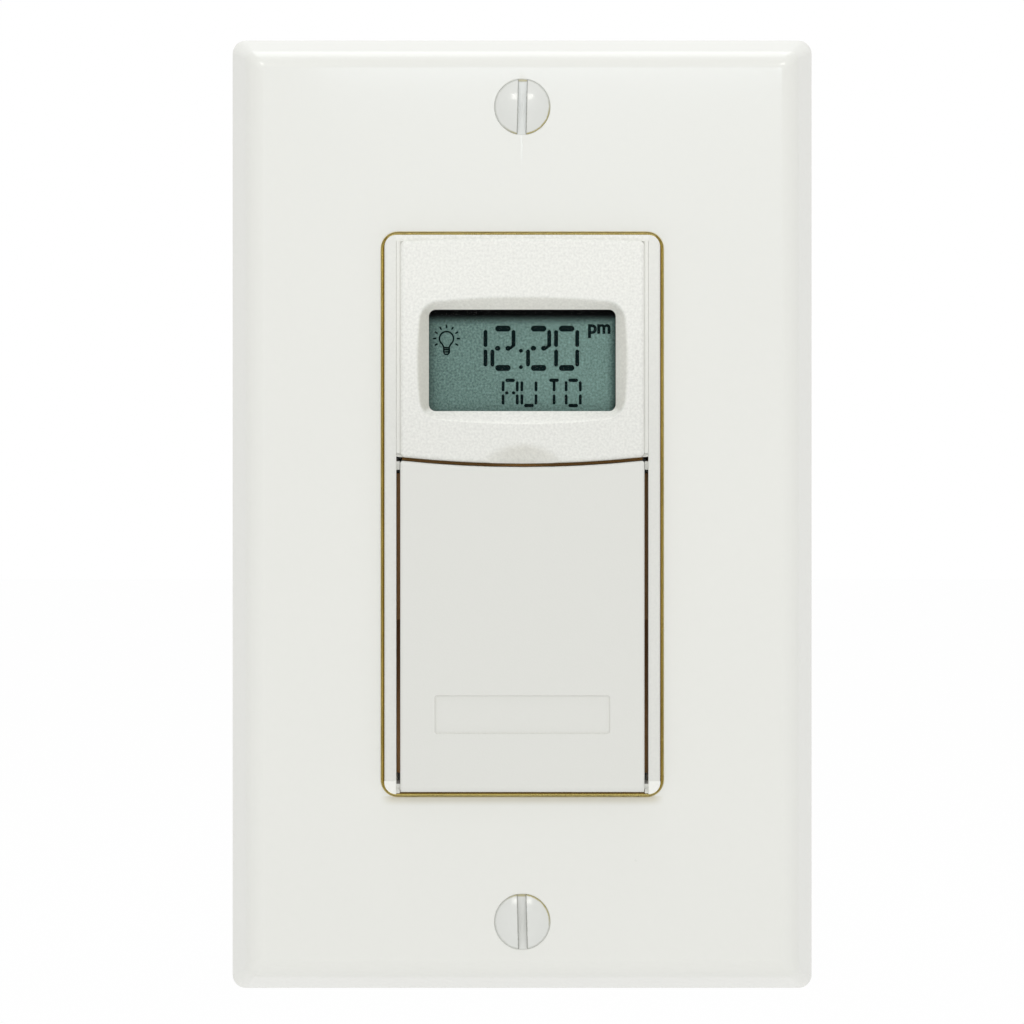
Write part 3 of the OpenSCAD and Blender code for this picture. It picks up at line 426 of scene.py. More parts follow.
@dataclass(frozen=True)
class Finish(ABC):
    """A surface that pieces can be given, for one of the record's material slots."""

    slot: str

    @abstractmethod
    def wire(self, shader: Shader) -> None:
        """Builds the surface in a shader."""

    @cache
    def material(self) -> bpy.types.Material:
        """Gives the finish's material, which is made at its first use.

        Returns:
            The material.
        """
        shader = Shader(bpy.data.materials.new(self.slot))
        self.wire(shader)
        return shader.owner

    def cover(self, obj: bpy.types.Object) -> None:
        """Gives an object this finish alone."""
        obj.data.materials.clear()
        obj.data.materials.append(self.material())


@dataclass(frozen=True)
class MouldedPlastic(Finish):
    """Plastic with the fine grain of its mould and a slow clouding."""

    tone: Tone
    roughness: float = 0.4
    uneven: float = 0.2
    grain: float = 0.3
    depth: float = 0.006
    speckle: float = 0.03
    mottle: float = 0.02
    cloud: float = 14.0
    coat: float = 0.0
    polish: float = 0.09
    sheen: float = 0.5

    def texture(self, shader: Shader) -> Sock:
        """Gives the grain of the mould."""
        return shader.noise(self.grain)

    def colour(self, shader: Shader, strength: Sock) -> Sock:
        """Gives the colour at a strength that varies over the piece."""
        return shader.tint(self.tone, strength)

    def wire(self, shader: Shader) -> None:
        """Builds the grain, the clouding and the sheen.

        Args:
            shader: The shader.
        """
        grain = self.texture(shader)
        cloud = shader.noise(self.cloud)
        shader.finish({
            "Base Color": self.colour(shader, 1 + self.speckle * grain + self.mottle * cloud),
            "Roughness": self.roughness * (1 + self.uneven * (grain + cloud)),
            "Specular IOR Level": self.sheen,
            "Coat Weight": self.coat,
            "Coat Roughness": self.polish,
            "Normal": shader.relief(grain, self.depth),
        })


@dataclass(frozen=True)
class PlatePlastic(MouldedPlastic):
    """Plastic of the plate, with a painted reflection of the plating in its opening and a painted shadow
    below it.
    """

    # Painted reflection of the gold plating on the walls of the opening.
    plating_reflection: Tone = (250, 228, 146)
    reflection_share: float = 0.9
    reflection_drop: Pair = (0.1, 0.01)
    reflection_reach: Pair = (0.05, 0.14)
    # Painted shadow that the face casts on the plate below the opening.
    foot: Tone = (180, 164, 110)
    foot_shadow_share: float = 0.42
    foot_start: float = -0.1
    foot_fade: float = 1.2
    foot_ends: Pair = (-1.5, 0.2)

    def colour(self, shader: Shader, strength: Sock) -> Sock:
        """Gives the colour with the painted reflection in the opening and the painted shadow below it.

        Args:
            shader: The shader.
            strength: The colour's strength.

        Returns:
            The colour.
        """
        half_w, half_h = SIZES.opening_half
        beside = shader.across - half_w
        deep = 1 - shader.out.rise(*(SIZES.plate_front - drop for drop in self.reflection_drop))
        inside = 1 - beside.larger(abs(shader.up) - half_h).rise(*self.reflection_reach)
        # Painted shadow below the opening, fading downwards.
        below = -shader.up - half_h
        foot = below.rise(self.foot_start, 0.0) * (1 - below.rise(0.0, self.foot_fade))
        foot = foot * (1 - beside.rise(*self.foot_ends))
        plain = shader.blend(self.foot_shadow_share * foot, shader.tint(self.tone, strength), linear(self.foot))
        # Painted reflection of the plating inside the opening.
        return shader.blend(self.reflection_share * deep * inside, plain, linear(self.plating_reflection))


@dataclass(frozen=True)
class FacePlastic(MouldedPlastic):
    """Plastic of the face: paler towards its head as painted light, greyer rails, painted shade in the gaps
    round the door and on the slopes round the window, and a painted reflection of the plating on its outer
    sides.
    """

    head_up: float = 30.0
    foot_up: float = 8.0
    fade: float = 0.08
    fade_middle: float = 0.6
    rail_shade: float = 0.05
    rail_smooth: float = 0.75
    tip_up: float = -31.5
    tip_light: float = 0.12
    # Painted shade on the slopes round the window, also used in the scoop, and a painted highlight on the
    # ridge below the window.
    slope: Pair = (1.05, 1.5)
    slope_r: float = 0.6
    painted_shade_tone: Tone = (188, 185, 170)
    corner_ease: float = 0.4
    middle_ease: float = 2.0
    side_shade: float = 0.4
    side_lean: float = 0.018
    head_shade: float = 0.3
    ridge: Pair = (1.45, 1.6)
    ridge_light: float = 0.14
    scoop_soft: float = 1.3
    scoop_shade: float = 0.36
    scoop_least: float = 0.5
    scoop_drop: Pair = (2.7, 0.6)
    # Painted shade in the gaps round the door, warm brown, darkest at the ends above the pins.
    joint_shade_reach: Pair = (0.1, 0.3)
    joint_level: Pair = (6.4, 6.9)
    gap_shade: Tone = (176, 132, 84)
    gap_shade_share: float = 0.85
    gap_shade_level: Pair = (4.25, 5.7)
    pin_up: Pair = (-31.85, -30.55)
    pin_dark: Tone = (50, 40, 32)
    # Painted reflection of the plating on the face's outer sides.
    plating_reflection: Tone = (150, 112, 50)
    reflection_share: float = 0.8
    reflection_depth: float = 0.3
    reflection_edge: Pair = (-0.08, -0.02)

    def texture(self, shader: Shader) -> Sock:
        """Gives the grain, which is fainter on the rails and on the beads beside them."""
        beside = shader.across.step(SIZES.door_half_w - 2 * EASE)
        return super().texture(shader) * (1 - self.rail_smooth * beside)

    def colour(self, shader: Shader, strength: Sock) -> Sock:
        """Gives the colour, with painted shades and the painted reflection of the plating laid over it one
        after another.

        Args:
            shader: The shader.
            strength: The colour's strength.

        Returns:
            The colour.
        """
        shade, lit = self.window_light(shader)
        gap_shade, ends = self.paint_gap_shade(shader)
        colour = shader.tint(self.tone, strength * self.fading(shader) * (1 + self.ridge_light * lit))
        layers = ((shade, self.painted_shade_tone),
                  (self.scoop_shade * self.scoop(shader), self.painted_shade_tone),
                  (self.gap_shade_share * gap_shade, self.gap_shade),
                  (self.gap_shade_share * ends, self.pin_dark),
                  (self.reflection_share * self.side_reflection(shader), self.plating_reflection))
        for share, tone in layers:
            colour = shader.blend(share, colour, linear(tone))
        return colour

    def fading(self, shader: Shader) -> Sock:
        """Fades the colour downwards as painted light from above, dims the rails and brightens their lower
        tips.

        Args:
            shader: The shader.

        Returns:
            What the colour is multiplied by.
        """
        # Painted light: paler towards the head of the face.
        head = self.fade * (shader.up.rise(self.foot_up, self.head_up) - self.fade_middle)
        rails = shader.across.step(SIZES.rail_inner)
        tips = rails * (1 - shader.up.step(self.tip_up))
        return (1 + head) * (1 - self.rail_shade * rails + (self.rail_shade + self.tip_light) * tips)

    def window_light(self, shader: Shader) -> tuple[Sock, Sock]:
        """Paints shade on the slopes beside and above the window and a painted highlight on the ridge below
        it.

        Args:
            shader: The shader.

        Returns:
            The share of the painted shade and the share of the painted highlight.
        """
        across, above = shader.across, shader.up - SIZES.window_up
        half_w, half_h = SIZES.window_half
        side_bow, end_bow = SIZES.surround_curve
        wide = (across + side_bow * above * above - half_w + self.slope_r).larger(0.0)
        tall = (abs(above) + end_bow * across * across - half_h + self.slope_r).larger(0.0)
        beyond = wide.span(tall) - self.slope_r
        ends = (tall - wide).step(0.0, self.corner_ease)
        upper = above.step(0.0, self.middle_ease)
        side = self.side_shade * (1 - self.side_lean * shader.right)
        shade = side * (1 - ends) + self.head_shade * ends * upper
        lit = (1 - beyond.rise(*self.ridge)) * ends * (1 - upper)
        return (1 - beyond.rise(*self.slope)) * shade, lit

    def scoop(self, shader: Shader) -> Sock:
        """Shades the thumb scoop, most of all below its upper edge.

        Args:
            shader: The shader.

        Returns:
            The share of the shade.
        """
        up, radius = shader.up - SIZES.scoop_up, SIZES.scoop_r
        hollow = 1 - shader.across.span(up).rise(radius - self.scoop_soft, radius)
        head = up.rise(*(radius - drop for drop in self.scoop_drop))
        return hollow * (self.scoop_least + (1 - self.scoop_least) * head)

    def paint_gap_shade(self, shader: Shader) -> tuple[Sock, Sock]:
        """Paints shade on the walls of the gaps round the door, and darker painted shade at their ends above
        the pins.

        Args:
            shader: The shader.

        Returns:
            The share of the painted shade and the share of the darker painted shade.
        """
        across, out, rail, door_side = shader.across, shader.out, SIZES.rail_inner, SIZES.door_half_w
        joint = across.span(shader.up - SIZES.joint_up) - SIZES.joint_r
        beside = across.within(door_side - EASE, rail + 2 * EASE) * joint.step(EASE)
        above = (1 - across.step(door_side + EASE)) * (1 - abs(joint).rise(*self.joint_shade_reach))
        gap_shade = (beside * out.within(*self.gap_shade_level)).larger(above * (1 - out.rise(*self.joint_level)))
        ends = across.step(door_side - EASE) * (1 - across.rise(rail - EASE, rail))
        return gap_shade, ends * shader.up.within(*self.pin_up)

    def side_reflection(self, shader: Shader) -> Sock:
        """Marks the face's outer sides below the plate's front with a painted reflection of the plating.

        Args:
            shader: The shader.

        Returns:
            The share of the painted reflection.
        """
        half_w, half_h = SIZES.face_half
        sides = (shader.across - half_w).larger(abs(shader.up) - half_h).rise(*self.reflection_edge)
        return sides * (1 - shader.out.rise(SIZES.plate_front - self.reflection_depth, SIZES.plate_front))


@dataclass(frozen=True)
class GapShadeFinish(MouldedPlastic):
    """Painted shade for the strips in the gaps beside the door, with a darker painted shadow that starts at a
    step and fades downwards.
    """

    # Colour of the darker painted shadow in the gaps.
    deep: Tone = (101, 62, 14)
    step_up: float = -12.5
    foot_up: float = -29.0
    foot_light: float = 0.3
    level: float = 1.2
    lean: float = 0.0145

    def colour(self, shader: Shader, strength: Sock) -> Sock:
        """Gives the colour with the darker painted shadow below the step, paler towards the left.

        Args:
            shader: The shader.
            strength: The colour's strength.

        Returns:
            The colour.
        """
        below = 1 - shader.up.step(self.step_up, 2 * EASE)
        near = shader.up.rise(self.foot_up, self.step_up)
        strength = strength * (self.level - self.lean * shader.right)
        plain = shader.tint(self.tone, strength * (1 + self.foot_light * below * (1 - near)))
        return shader.blend(below * near, plain, linear(self.deep))


@dataclass(frozen=True)
class PaintedHead(Finish):
    """White paint on screws above and below, worn to the plating at the rim and the slot's ends, with a
    painted shadow along the lower rim.
    """

    centre: float
    radius: float
    slot_w: float
    lean: float
    slot_ease: float = 0.04
    tone: Tone = (222, 223, 218)
    cloud: float = 2.0
    mottle: float = 0.03
    rim: Tone = (150, 154, 142)
    rim_drop: Pair = (0.24, 0.06)
    rim_wear: float = 0.45
    under_shadow: float = 0.5
    under_lean: float = 0.6
    under_reach: Pair = (0.4, 3.4)
    end_drop: Pair = (0.42, 0.22)
    end_wear: float = 0.75
    patch: float = 0.5
    patch_detail: float = 3.0
    ragged: float = 0.2
    metal: Tone = (156, 144, 72)
    metal_level: float = 1.05
    metal_uneven: float = 0.3
    thread_out: Pair = (4.2, 4.6)
    thread_shine: float = 0.9
    dark_tone: Tone = (116, 116, 104)
    line_share: float = 0.6
    dirt_width: Pair = (0.03, 0.1)
    line_ragged: float = 0.08
    floor_light: float = 0.16
    floor_reach: float = 1.0
    roughness: float = 0.25
    bare_rough: float = 0.075
    bare_uneven: float = 0.15
    gloss: float = 0.9
    polish: float = 0.15
    ripple: float = 0.6
    depth: float = 0.01

    def wire(self, shader: Shader) -> None:
        """Builds the paint, its wear, the painted shadow along the lower rim, the dark lines along the slot,
        the painted light on the slot's floor and the bare thread.

        Args:
            shader: The shader.
        """
        right, upper = shader.right, shader.up.sign()
        local = shader.up - self.centre * upper
        out = right.span(local)
        patchy = shader.noise(self.patch, self.patch_detail)
        half = self.slot_w / 2
        across = abs(right - self.lean * upper * local)
        groove = 1 - across.step(half, self.slot_ease)
        ends = groove * local.rise(*(self.radius - drop for drop in self.end_drop))
        edge = (out + self.ragged * patchy).rise(*(self.radius - drop for drop in self.rim_drop))
        # Painted shadow along the lower rim, in the gold of the plating.
        under = (self.under_lean * right - local * upper).rise(*self.under_reach)
        thread = 1 - shader.out.rise(*self.thread_out)
        worn = edge * (1 - groove) * (self.rim_wear + self.under_shadow * under)
        bare = worn.larger(self.end_wear * ends).larger(thread)
        # Painted light on the slot's floor, strongest in the middle, lifting the shade between the slot's
        # walls.
        floor = groove * (1 - out.rise(self.floor_reach, self.radius))
        cloud = shader.noise(self.cloud)
        paint = shader.tint(self.tone, 1 + self.mottle * cloud + self.floor_light * floor)
        gold = shader.tint(self.metal, self.metal_level + self.metal_uneven * patchy)
        metal = shader.blend(under.larger(ends).larger(thread), linear(self.rim), gold)
        # Dark ragged lines along the edges of the slot.
        line = 1 - abs(across + self.line_ragged * patchy - half).rise(*self.dirt_width)
        shader.finish({
            "Base Color": shader.blend(self.line_share * line, shader.blend(bare, paint, metal),
                                       linear(self.dark_tone)),
            "Metallic": self.thread_shine * thread,
            "Roughness": self.roughness + (self.bare_rough + self.bare_uneven * patchy) * bare,
            "Coat Weight": self.gloss,
            "Coat Roughness": self.polish,
            "Normal": shader.relief(shader.noise(self.ripple), self.depth),
        })


@dataclass(frozen=True)
class PlatedMetal(Finish):
    """Rolled metal with a plating that varies and fine marks along one way."""

    tone: Tone
    drift: Tone
    roughness: float = 0.35
    run: Triple = (1.0, 1.0, 12.0)
    depth: float = 0.003
    cloud: float = 7.0
    cloud_detail: float = 3.0
    cloud_edge: Pair = (-0.15, 0.18)
    cloud_rough: float = 0.15
    mark: float = 0.12
    mark_rough: float = 0.25

    def colour(self, shader: Shader, cloud: Sock) -> Sock:
        """Gives the colour of the plating, which drifts with a cloudy pattern."""
        return shader.blend(cloud.rise(*self.cloud_edge), linear(self.tone), linear(self.drift))

    def wire(self, shader: Shader) -> None:
        """Builds the plating and the marks of rolling.

        Args:
            shader: The shader.
        """
        cloud = shader.noise(self.cloud, self.cloud_detail)
        marks = shader.noise(self.mark, stretch=self.run)
        shader.finish({
            "Base Color": self.colour(shader, cloud),
            "Metallic": 1.0,
            "Roughness": self.roughness + self.mark_rough * marks + self.cloud_rough * cloud,
            "Normal": shader.relief(marks, self.depth),
        })


@dataclass(frozen=True)
class TrimPlating(PlatedMetal):
    """Plating of the ring in the gap round the face, with painted shade where it runs under the face."""

    # Painted shade under the face's edge, and painted light on the outer part above and below it.
    dark_tone: Tone = (104, 80, 36)
    shade_edge: Pair = (0.16, 0.36)
    pale: Tone = (255, 236, 150)
    pale_edge: Pair = (0.22, 0.32)

    def colour(self, shader: Shader, cloud: Sock) -> Sock:
        """Gives the plating with painted shade along its inner edge, and paler above and below the face as
        painted light.

        Args:
            shader: The shader.
            cloud: The pattern that the plating drifts with.

        Returns:
            The colour.
        """
        (half_w, half_h), radius = SIZES.ring_half, SIZES.ring_r
        across = (shader.across - half_w + radius).larger(0.0)
        up = (abs(shader.up) - half_h + radius).larger(0.0)
        out = across.span(up) - radius
        pale = out.rise(*self.pale_edge) * up.step(radius - EASE)
        plating = shader.blend(pale, super().colour(shader, cloud), linear(self.pale))
        return shader.blend(out.rise(*self.shade_edge), linear(self.dark_tone), plating)


@dataclass(frozen=True)
class CircuitBoard(Finish):
    """Board with a green mask over copper tracks."""

    mask: Tone
    copper: Tone
    pitch: float = 1.27
    patch: float = 7.0
    patch_edge: float = 0.01
    track: Pair = (0.12, 0.2)
    track_share: float = 0.55
    depth: float = 0.03
    weave: float = 0.25
    weave_shade: float = 0.4
    roughness: float = 0.425
    weave_rough: float = 0.15
    coat: float = 0.3

    def wire(self, shader: Shader) -> None:
        """Builds tracks that run across in some patches and up in others.

        Args:
            shader: The shader.
        """
        turned = shader.noise(self.patch, detail=0.0).step(0.0, self.patch_edge)
        line = shader.right * turned + shader.up * (1 - turned)
        track = 1 - abs((line / self.pitch).cycle() - 0.5).rise(*self.track)
        weave = shader.noise(self.weave)
        mask = shader.tint(self.mask, 1 + self.weave_shade * weave)
        shader.finish({
            "Base Color": shader.blend(self.track_share * track, mask, linear(self.copper)),
            "Roughness": self.roughness + self.weave_rough * weave,
            "Coat Weight": self.coat,
            "Normal": shader.relief(track, self.depth),
        })


@dataclass(frozen=True)
class Sleeve(Finish):
    """Printed film shrunk round a part, with a band of a second colour."""

    tone: Tone
    band: Tone
    start: float
    end: float
    wave: float = 3.0
    wave_detail: float = 3.0
    wave_shade: float = 0.2
    roughness: float = 0.325
    wave_rough: float = 0.15
    depth: float = 0.02

    def wire(self, shader: Shader) -> None:
        """Builds the film and its band.

        Args:
            shader: The shader.
        """
        band = shader.right.within(self.start, self.end)
        film = shader.noise(self.wave, self.wave_detail)
        plain, printed = (shader.tint(tone, 1 + self.wave_shade * film) for tone in (self.tone, self.band))
        shader.finish({
            "Base Color": shader.blend(band, plain, printed),
            "Roughness": self.roughness + self.wave_rough * film,
            "Normal": shader.relief(film, self.depth),
        })


@dataclass(frozen=True)
class LayeredRubber(Finish):
    """Rubber with dark conducting layers across its length."""

    tone: Tone
    layer: Tone
    pitch: float = 0.2
    layer_edge: Pair = (0.15, 0.25)
    depth: float = 0.01
    roughness: float = 0.7
    cloud: float = 1.5
    cloud_rough: float = 0.2

    def wire(self, shader: Shader) -> None:
        """Builds the layers."""
        stripe = abs((shader.right / self.pitch).cycle() - 0.5).rise(*self.layer_edge)
        shader.finish({
            "Base Color": shader.blend(stripe, linear(self.tone), linear(self.layer)),
            "Roughness": self.roughness + self.cloud_rough * shader.noise(self.cloud),
            "Normal": shader.relief(stripe, self.depth),
        })


@dataclass(frozen=True)
class DisplayFace(Finish):
    """Grey-green face of a reflective LCD, grainy, with painted shade towards the edges of its window."""

    centre_up: float
    tone: Tone = (112, 140, 133)
    edge: Tone = (4, 5, 5)
    grain: float = 0.26
    grain_detail: float = 3.0
    speckle: float = 1.8
    cloud: float = 5.0
    mottle: float = 0.2
    lean: float = 0.0115
    head_drop: Pair = (2.0, 0.5)
    side_reach: Pair = (-1.1, 0.3)
    side_shade: float = 0.5
    side_lean: float = 0.045
    roughness: float = 0.45
    grain_rough: float = 0.3
    sheen: float = 0.03
    depth: float = 0.004

    def wire(self, shader: Shader) -> None:
        """Builds the grain, the painted shade along the edges and the painted shadow strip under the upper
        edge.

        Args:
            shader: The shader.
        """
        half_w, half_h = SIZES.window_half
        right, up = shader.right, shader.up - self.centre_up
        grain = shader.noise(self.grain, self.grain_detail)
        cloud = shader.noise(self.cloud)
        # Painted shade along the window's sides and a painted shadow strip under its upper edge.
        side = (shader.across - half_w).rise(*self.side_reach)
        head = up.rise(*(half_h - drop for drop in self.head_drop))
        rim = (self.side_shade * side * (1 + self.side_lean * right)).larger(head)
        face = shader.tint(self.tone, 1 + self.speckle * grain + self.mottle * cloud + self.lean * right)
        shader.finish({
            "Base Color": shader.blend(rim, face, linear(self.edge)),
            "Roughness": self.roughness + self.grain_rough * grain,
            "Specular IOR Level": self.sheen,
            "Normal": shader.relief(grain, self.depth),
        })


@dataclass(frozen=True)
class ClearSheet(Finish):
    """Clear plastic with a faint haze."""

    tone: Tone = (20, 24, 22)
    alpha: float = 0.025
    haze: float = 1.8
    haze_detail: float = 3.0
    haze_alpha: float = 0.03
    roughness: float = 0.09
    haze_rough: float = 0.06

    def wire(self, shader: Shader) -> None:
        """Builds the haze."""
        haze = shader.noise(self.haze, self.haze_detail)
        shader.finish({
            "Base Color": linear(self.tone),
            "Roughness": self.roughness + self.haze_rough * haze,
            "Alpha": self.alpha + self.haze_alpha * haze,
        })


def deselect() -> None:
    """Leaves no object selected."""
    bpy.ops.object.select_all(action="DESELECT")


class Workpiece:
    """A mesh that is shaped by hand-modelling operators."""

    def __init__(self, name: str, obj: bpy.types.Object) -> None:
        """Takes an object over and names it.

        Args:
            name: Name that it gets.
            obj: The object.
        """
        self.obj = obj
        obj.name = name
        obj.data.name = name

    def alone(self) -> None:
        """Makes this the one selected and active object."""
        deselect()
        self.obj.select_set(True)
        bpy.context.view_layer.objects.active = self.obj

    def fix(self) -> Self:
        """Puts the place, the turn and the scale of the selected piece into its mesh."""
        bpy.ops.object.transform_apply(location=True, rotation=True, scale=True)
        return self

    @classmethod
    def box(cls, name: str, low: Sequence[float], high: Sequence[float]) -> Self:
        """Starts with a block.

        Args:
            name: Name of the piece.
            low: Its lowest corner.
            high: Its highest corner.

        Returns:
            The block.
        """
        low, high = Vector(low), Vector(high)
        deselect()
        bpy.ops.mesh.primitive_cube_add(size=1, location=(low + high) / 2, scale=high - low)
        return cls(name, bpy.context.object).fix()

    @classmethod
    def side_box(cls, name: str, side: int, across: Pair, up: Pair, level: Pair) -> Self:
        """Starts with a block on one side of the middle line.

        Args:
            name: Name of the piece.
            side: -1 for left, 1 for right.
            across: How far from the middle line two of its sides are.
            up: The heights of its lower and upper end.
            level: The levels of its back and front.

        Returns:
            The block.
        """
        left, right = sorted(side * place for place in across)
        return cls.box(name, (left, up[0], level[0]), (right, up[1], level[1]))

    @classmethod
    def loft(cls, name: str, rings: Sequence[Ring], closed: bool = False) -> Self:
        """Starts with a ring of edges and extrudes it from ring to ring.

        Args:
            name: Name of the piece.
            rings: Rings with the same number of points.
            closed: Whether the last ring joins the first one; otherwise both ends are capped.

        Returns:
            The closed shell.
        """
        count = len(rings[0])
        deselect()
        bpy.ops.mesh.primitive_circle_add(vertices=count, fill_type="NOTHING")
        piece = cls(name, bpy.context.object)
        bpy.ops.object.mode_set(mode="EDIT")
        bpy.ops.mesh.select_mode(type="EDGE")
        bpy.ops.mesh.select_all(action="SELECT")
        line = list(range(count))
        piece.put_points(line, rings[0])
        for ring in rings[1:]:
            bpy.ops.mesh.extrude_edges_move()
            line = piece._after_extrude(line)
            piece.put_points(line, ring)
        if closed:
            piece._pick_edges({*range(count)}, {*line})
            bpy.ops.mesh.bridge_edge_loops()
        else:
            for end in (set(line), set(range(count))):
                piece._pick_edges(end)
                bpy.ops.mesh.edge_face_add()
        bpy.ops.mesh.select_all(action="SELECT")
        bpy.ops.mesh.normals_make_consistent(inside=False)
        bpy.ops.object.mode_set(mode="OBJECT")
        return piece

    def put_points(self, line: Sequence[int], ring: Ring) -> None:
        """Moves points of the mesh onto a ring.

        Args:
            line: The points' numbers.
            ring: Where they go.
        """
        edit = bmesh.from_edit_mesh(self.obj.data)
        edit.verts.ensure_lookup_table()
        for number, point in zip(line, ring, strict=True):
            edit.verts[number].co = point
        bmesh.update_edit_mesh(self.obj.data)

    def _after_extrude(self, line: Sequence[int]) -> list[int]:
        """Finds the new points that an extrusion made from a line of points.

        Args:
            line: Numbers of the points before.

        Returns:
            Numbers of the new points, in the same order.
        """
        edit = bmesh.from_edit_mesh(self.obj.data)
        edit.verts.index_update()
        edit.verts.ensure_lookup_table()
        found = []
        for number in line:
            old = edit.verts[number]
            ends = (edge.other_vert(old) for edge in old.link_edges)
            found.append(next(end.index for end in ends if end.select))
        return found

    def _pick_edges(self, *loops: set[int]) -> None:
        """Selects the edges whose two ends are in one of the loops.

        Args:
            *loops: Sets of points' numbers.
        """
        bpy.ops.mesh.select_all(action="DESELECT")
        edit = bmesh.from_edit_mesh(self.obj.data)
        for edge in edit.edges:
            ends = {vert.index for vert in edge.verts}
            edge.select_set(any(ends <= loop for loop in loops))
        bmesh.update_edit_mesh(self.obj.data)

    @classmethod
    def lathe(cls, name: str, profile: Sequence[Pair], sides: int = TURNED_SIDES) -> Self:
        """Starts with a turned shape about the z axis.

        Args:
            name: Name of the piece.
            profile: Pairs of radius and level.
            sides: Number of sides.

        Returns:
            The turned shape.
        """
        return cls.loft(name, [round_ring(radius, level, sides) for radius, level in profile])

    @classmethod
    def lettering(cls, name: str, words: str, height: float, at: Sequence[float],
                  thick: float, bold: float = 0.0) -> Self:
        """Starts with flat letters.

        Args:
            name: Name of the piece.
            words: What the letters say.
            height: Height of a capital.
            at: The middle of the words.
            thick: Thickness of the letters.
            bold: How much each stroke is widened.

        Returns:
            The letters as a mesh.
        """
        deselect()
        bpy.ops.object.text_add(location=at)
        letters = bpy.context.object.data
        letters.body = words
        letters.align_x, letters.align_y = "CENTER", "CENTER"
        letters.size = height / CAPITAL
        letters.extrude = thick / 2
        letters.offset = bold
        letters.resolution_u = LETTER_STEPS
        bpy.ops.object.convert(target="MESH")
        return cls(name, bpy.context.object).fix()

    @classmethod
    def copy_of(cls, name: str, node: str) -> Self:
        """Starts with a merged copy of a CAD node, already standing in the frame.

        Args:
            name: Name of the piece.
            node: Name of the CAD node.

        Returns:
            The copy.
        """
        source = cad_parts[node]
        copy = bpy.data.objects.new(name, source.data.copy())
        bpy.context.scene.collection.objects.link(copy)
        piece = cls(name, copy)
        piece.alone()
        bpy.ops.mesh.customdata_custom_splitnormals_clear()
        bpy.ops.object.mode_set(mode="EDIT")
        bpy.ops.mesh.select_all(action="SELECT")
        bpy.ops.mesh.remove_doubles(threshold=MERGE)
        bpy.ops.mesh.dissolve_limited(angle_limit=math.radians(FLAT_ANGLE))
        bpy.ops.object.mode_set(mode="OBJECT")
        return piece

    def copy(self, name: str) -> Self:
        """Copies the piece with a mesh of its own.

        Args:
            name: Name of the copy.

        Returns:
            The copy.
        """
        self.alone()
        bpy.ops.object.duplicate()
        return type(self)(name, bpy.context.object).fix()

    def shift(self, by: Sequence[float]) -> Self:
        """Moves the piece.

        Args:
            by: How far it is moved.

        Returns:
            The piece.
        """
        self.alone()
        bpy.ops.transform.translate(value=by)
        return self.fix()

    def turn(self, angle: float, axis: Axis) -> Self:
        """Turns the piece about the origin.

        Args:
            angle: The angle in degrees.
            axis: The axis that it is turned about.

        Returns:
            The piece.
        """
        self.alone()
        self.obj.rotation_euler["XYZ".index(axis.value)] = math.radians(angle)
        return self.fix()

    def bevel(self, pick: Callable[[Vector, Vector], bool], width: float,
              segments: int = 4) -> Self:
        """Rounds chosen edges.

        Args:
            pick: Says from an edge's middle and its direction whether it is rounded.
            width: Width of the rounding.
            segments: Number of steps.

        Returns:
            The piece.
        """
        self.alone()
        bpy.ops.object.mode_set(mode="EDIT")
        bpy.ops.mesh.select_mode(type="EDGE")
        bpy.ops.mesh.select_all(action="DESELECT")
        edit = bmesh.from_edit_mesh(self.obj.data)
        for edge in edit.edges:
            one, two = (vert.co for vert in edge.verts)
            edge.select_set(pick((one + two) / 2, (two - one).normalized()))
        bmesh.update_edit_mesh(self.obj.data)
        bpy.ops.mesh.bevel(offset=width, segments=segments, affect="EDGES", clamp_overlap=True)
        bpy.ops.object.mode_set(mode="OBJECT")
        return self

    def apply(self, kind: str, **settings: object) -> Self:
        """Adds a modifier and applies it.

        Args:
            kind: The modifier's type.
            **settings: The modifier's settings.

        Returns:
            The piece.
        """
        self.alone()
        modifier = self.obj.modifiers.new(kind.title(), kind)
        for key, value in settings.items():
            setattr(modifier, key, value)
        bpy.ops.object.modifier_apply(modifier=modifier.name)
        return self

    def cut(self, tool: "Workpiece") -> Self:
        """Takes a tool's shape away and throws the tool away."""
        return self._combine(tool, "DIFFERENCE")

    def fuse(self, other: "Workpiece") -> Self:
        """Makes one solid of two pieces."""
        return self._combine(other, "UNION")

    def _combine(self, other: "Workpiece", operation: str) -> Self:
        """Applies a boolean with another piece, which is used up.

        Args:
            other: The other piece.
            operation: The kind of boolean.

        Returns:
            The piece.
        """
        self.apply("BOOLEAN", object=other.obj, operation=operation, solver="EXACT")
        bpy.data.objects.remove(other.obj, do_unlink=True)
        return self

    def gather(self, others: Sequence["Workpiece"]) -> Self:
        """Takes other shells into this mesh as they are.

        Args:
            others: The other shells.

        Returns:
            The piece.
        """
        self.alone()
        for other in others:
            other.obj.select_set(True)
        bpy.ops.object.join()
        return self

    def soften(self, width: float, segments: int = 2, angle: float = 35) -> Self:
        """Rounds every sharp edge a little.

        Args:
            width: Width of the rounding, in the piece's present unit.
            segments: Number of steps.
            angle: Least angle of an edge that is rounded.

        Returns:
            The piece.
        """
        return self.apply("BEVEL", width=width, segments=segments, limit_method="ANGLE",
                          angle_limit=math.radians(angle), use_clamp_overlap=True,
                          miter_outer="MITER_ARC")

    def smooth(self, angle: float = 35) -> Self:
        """Shades the piece smoothly up to an angle, and keeps its flats flat.

        Args:
            angle: Greatest angle that is shaded smoothly.

        Returns:
            The piece.
        """
        self.alone()
        bpy.ops.object.shade_smooth_by_angle(angle=math.radians(angle))
        return self.apply("WEIGHTED_NORMAL", keep_sharp=True, weight=FLAT_WEIGHT)

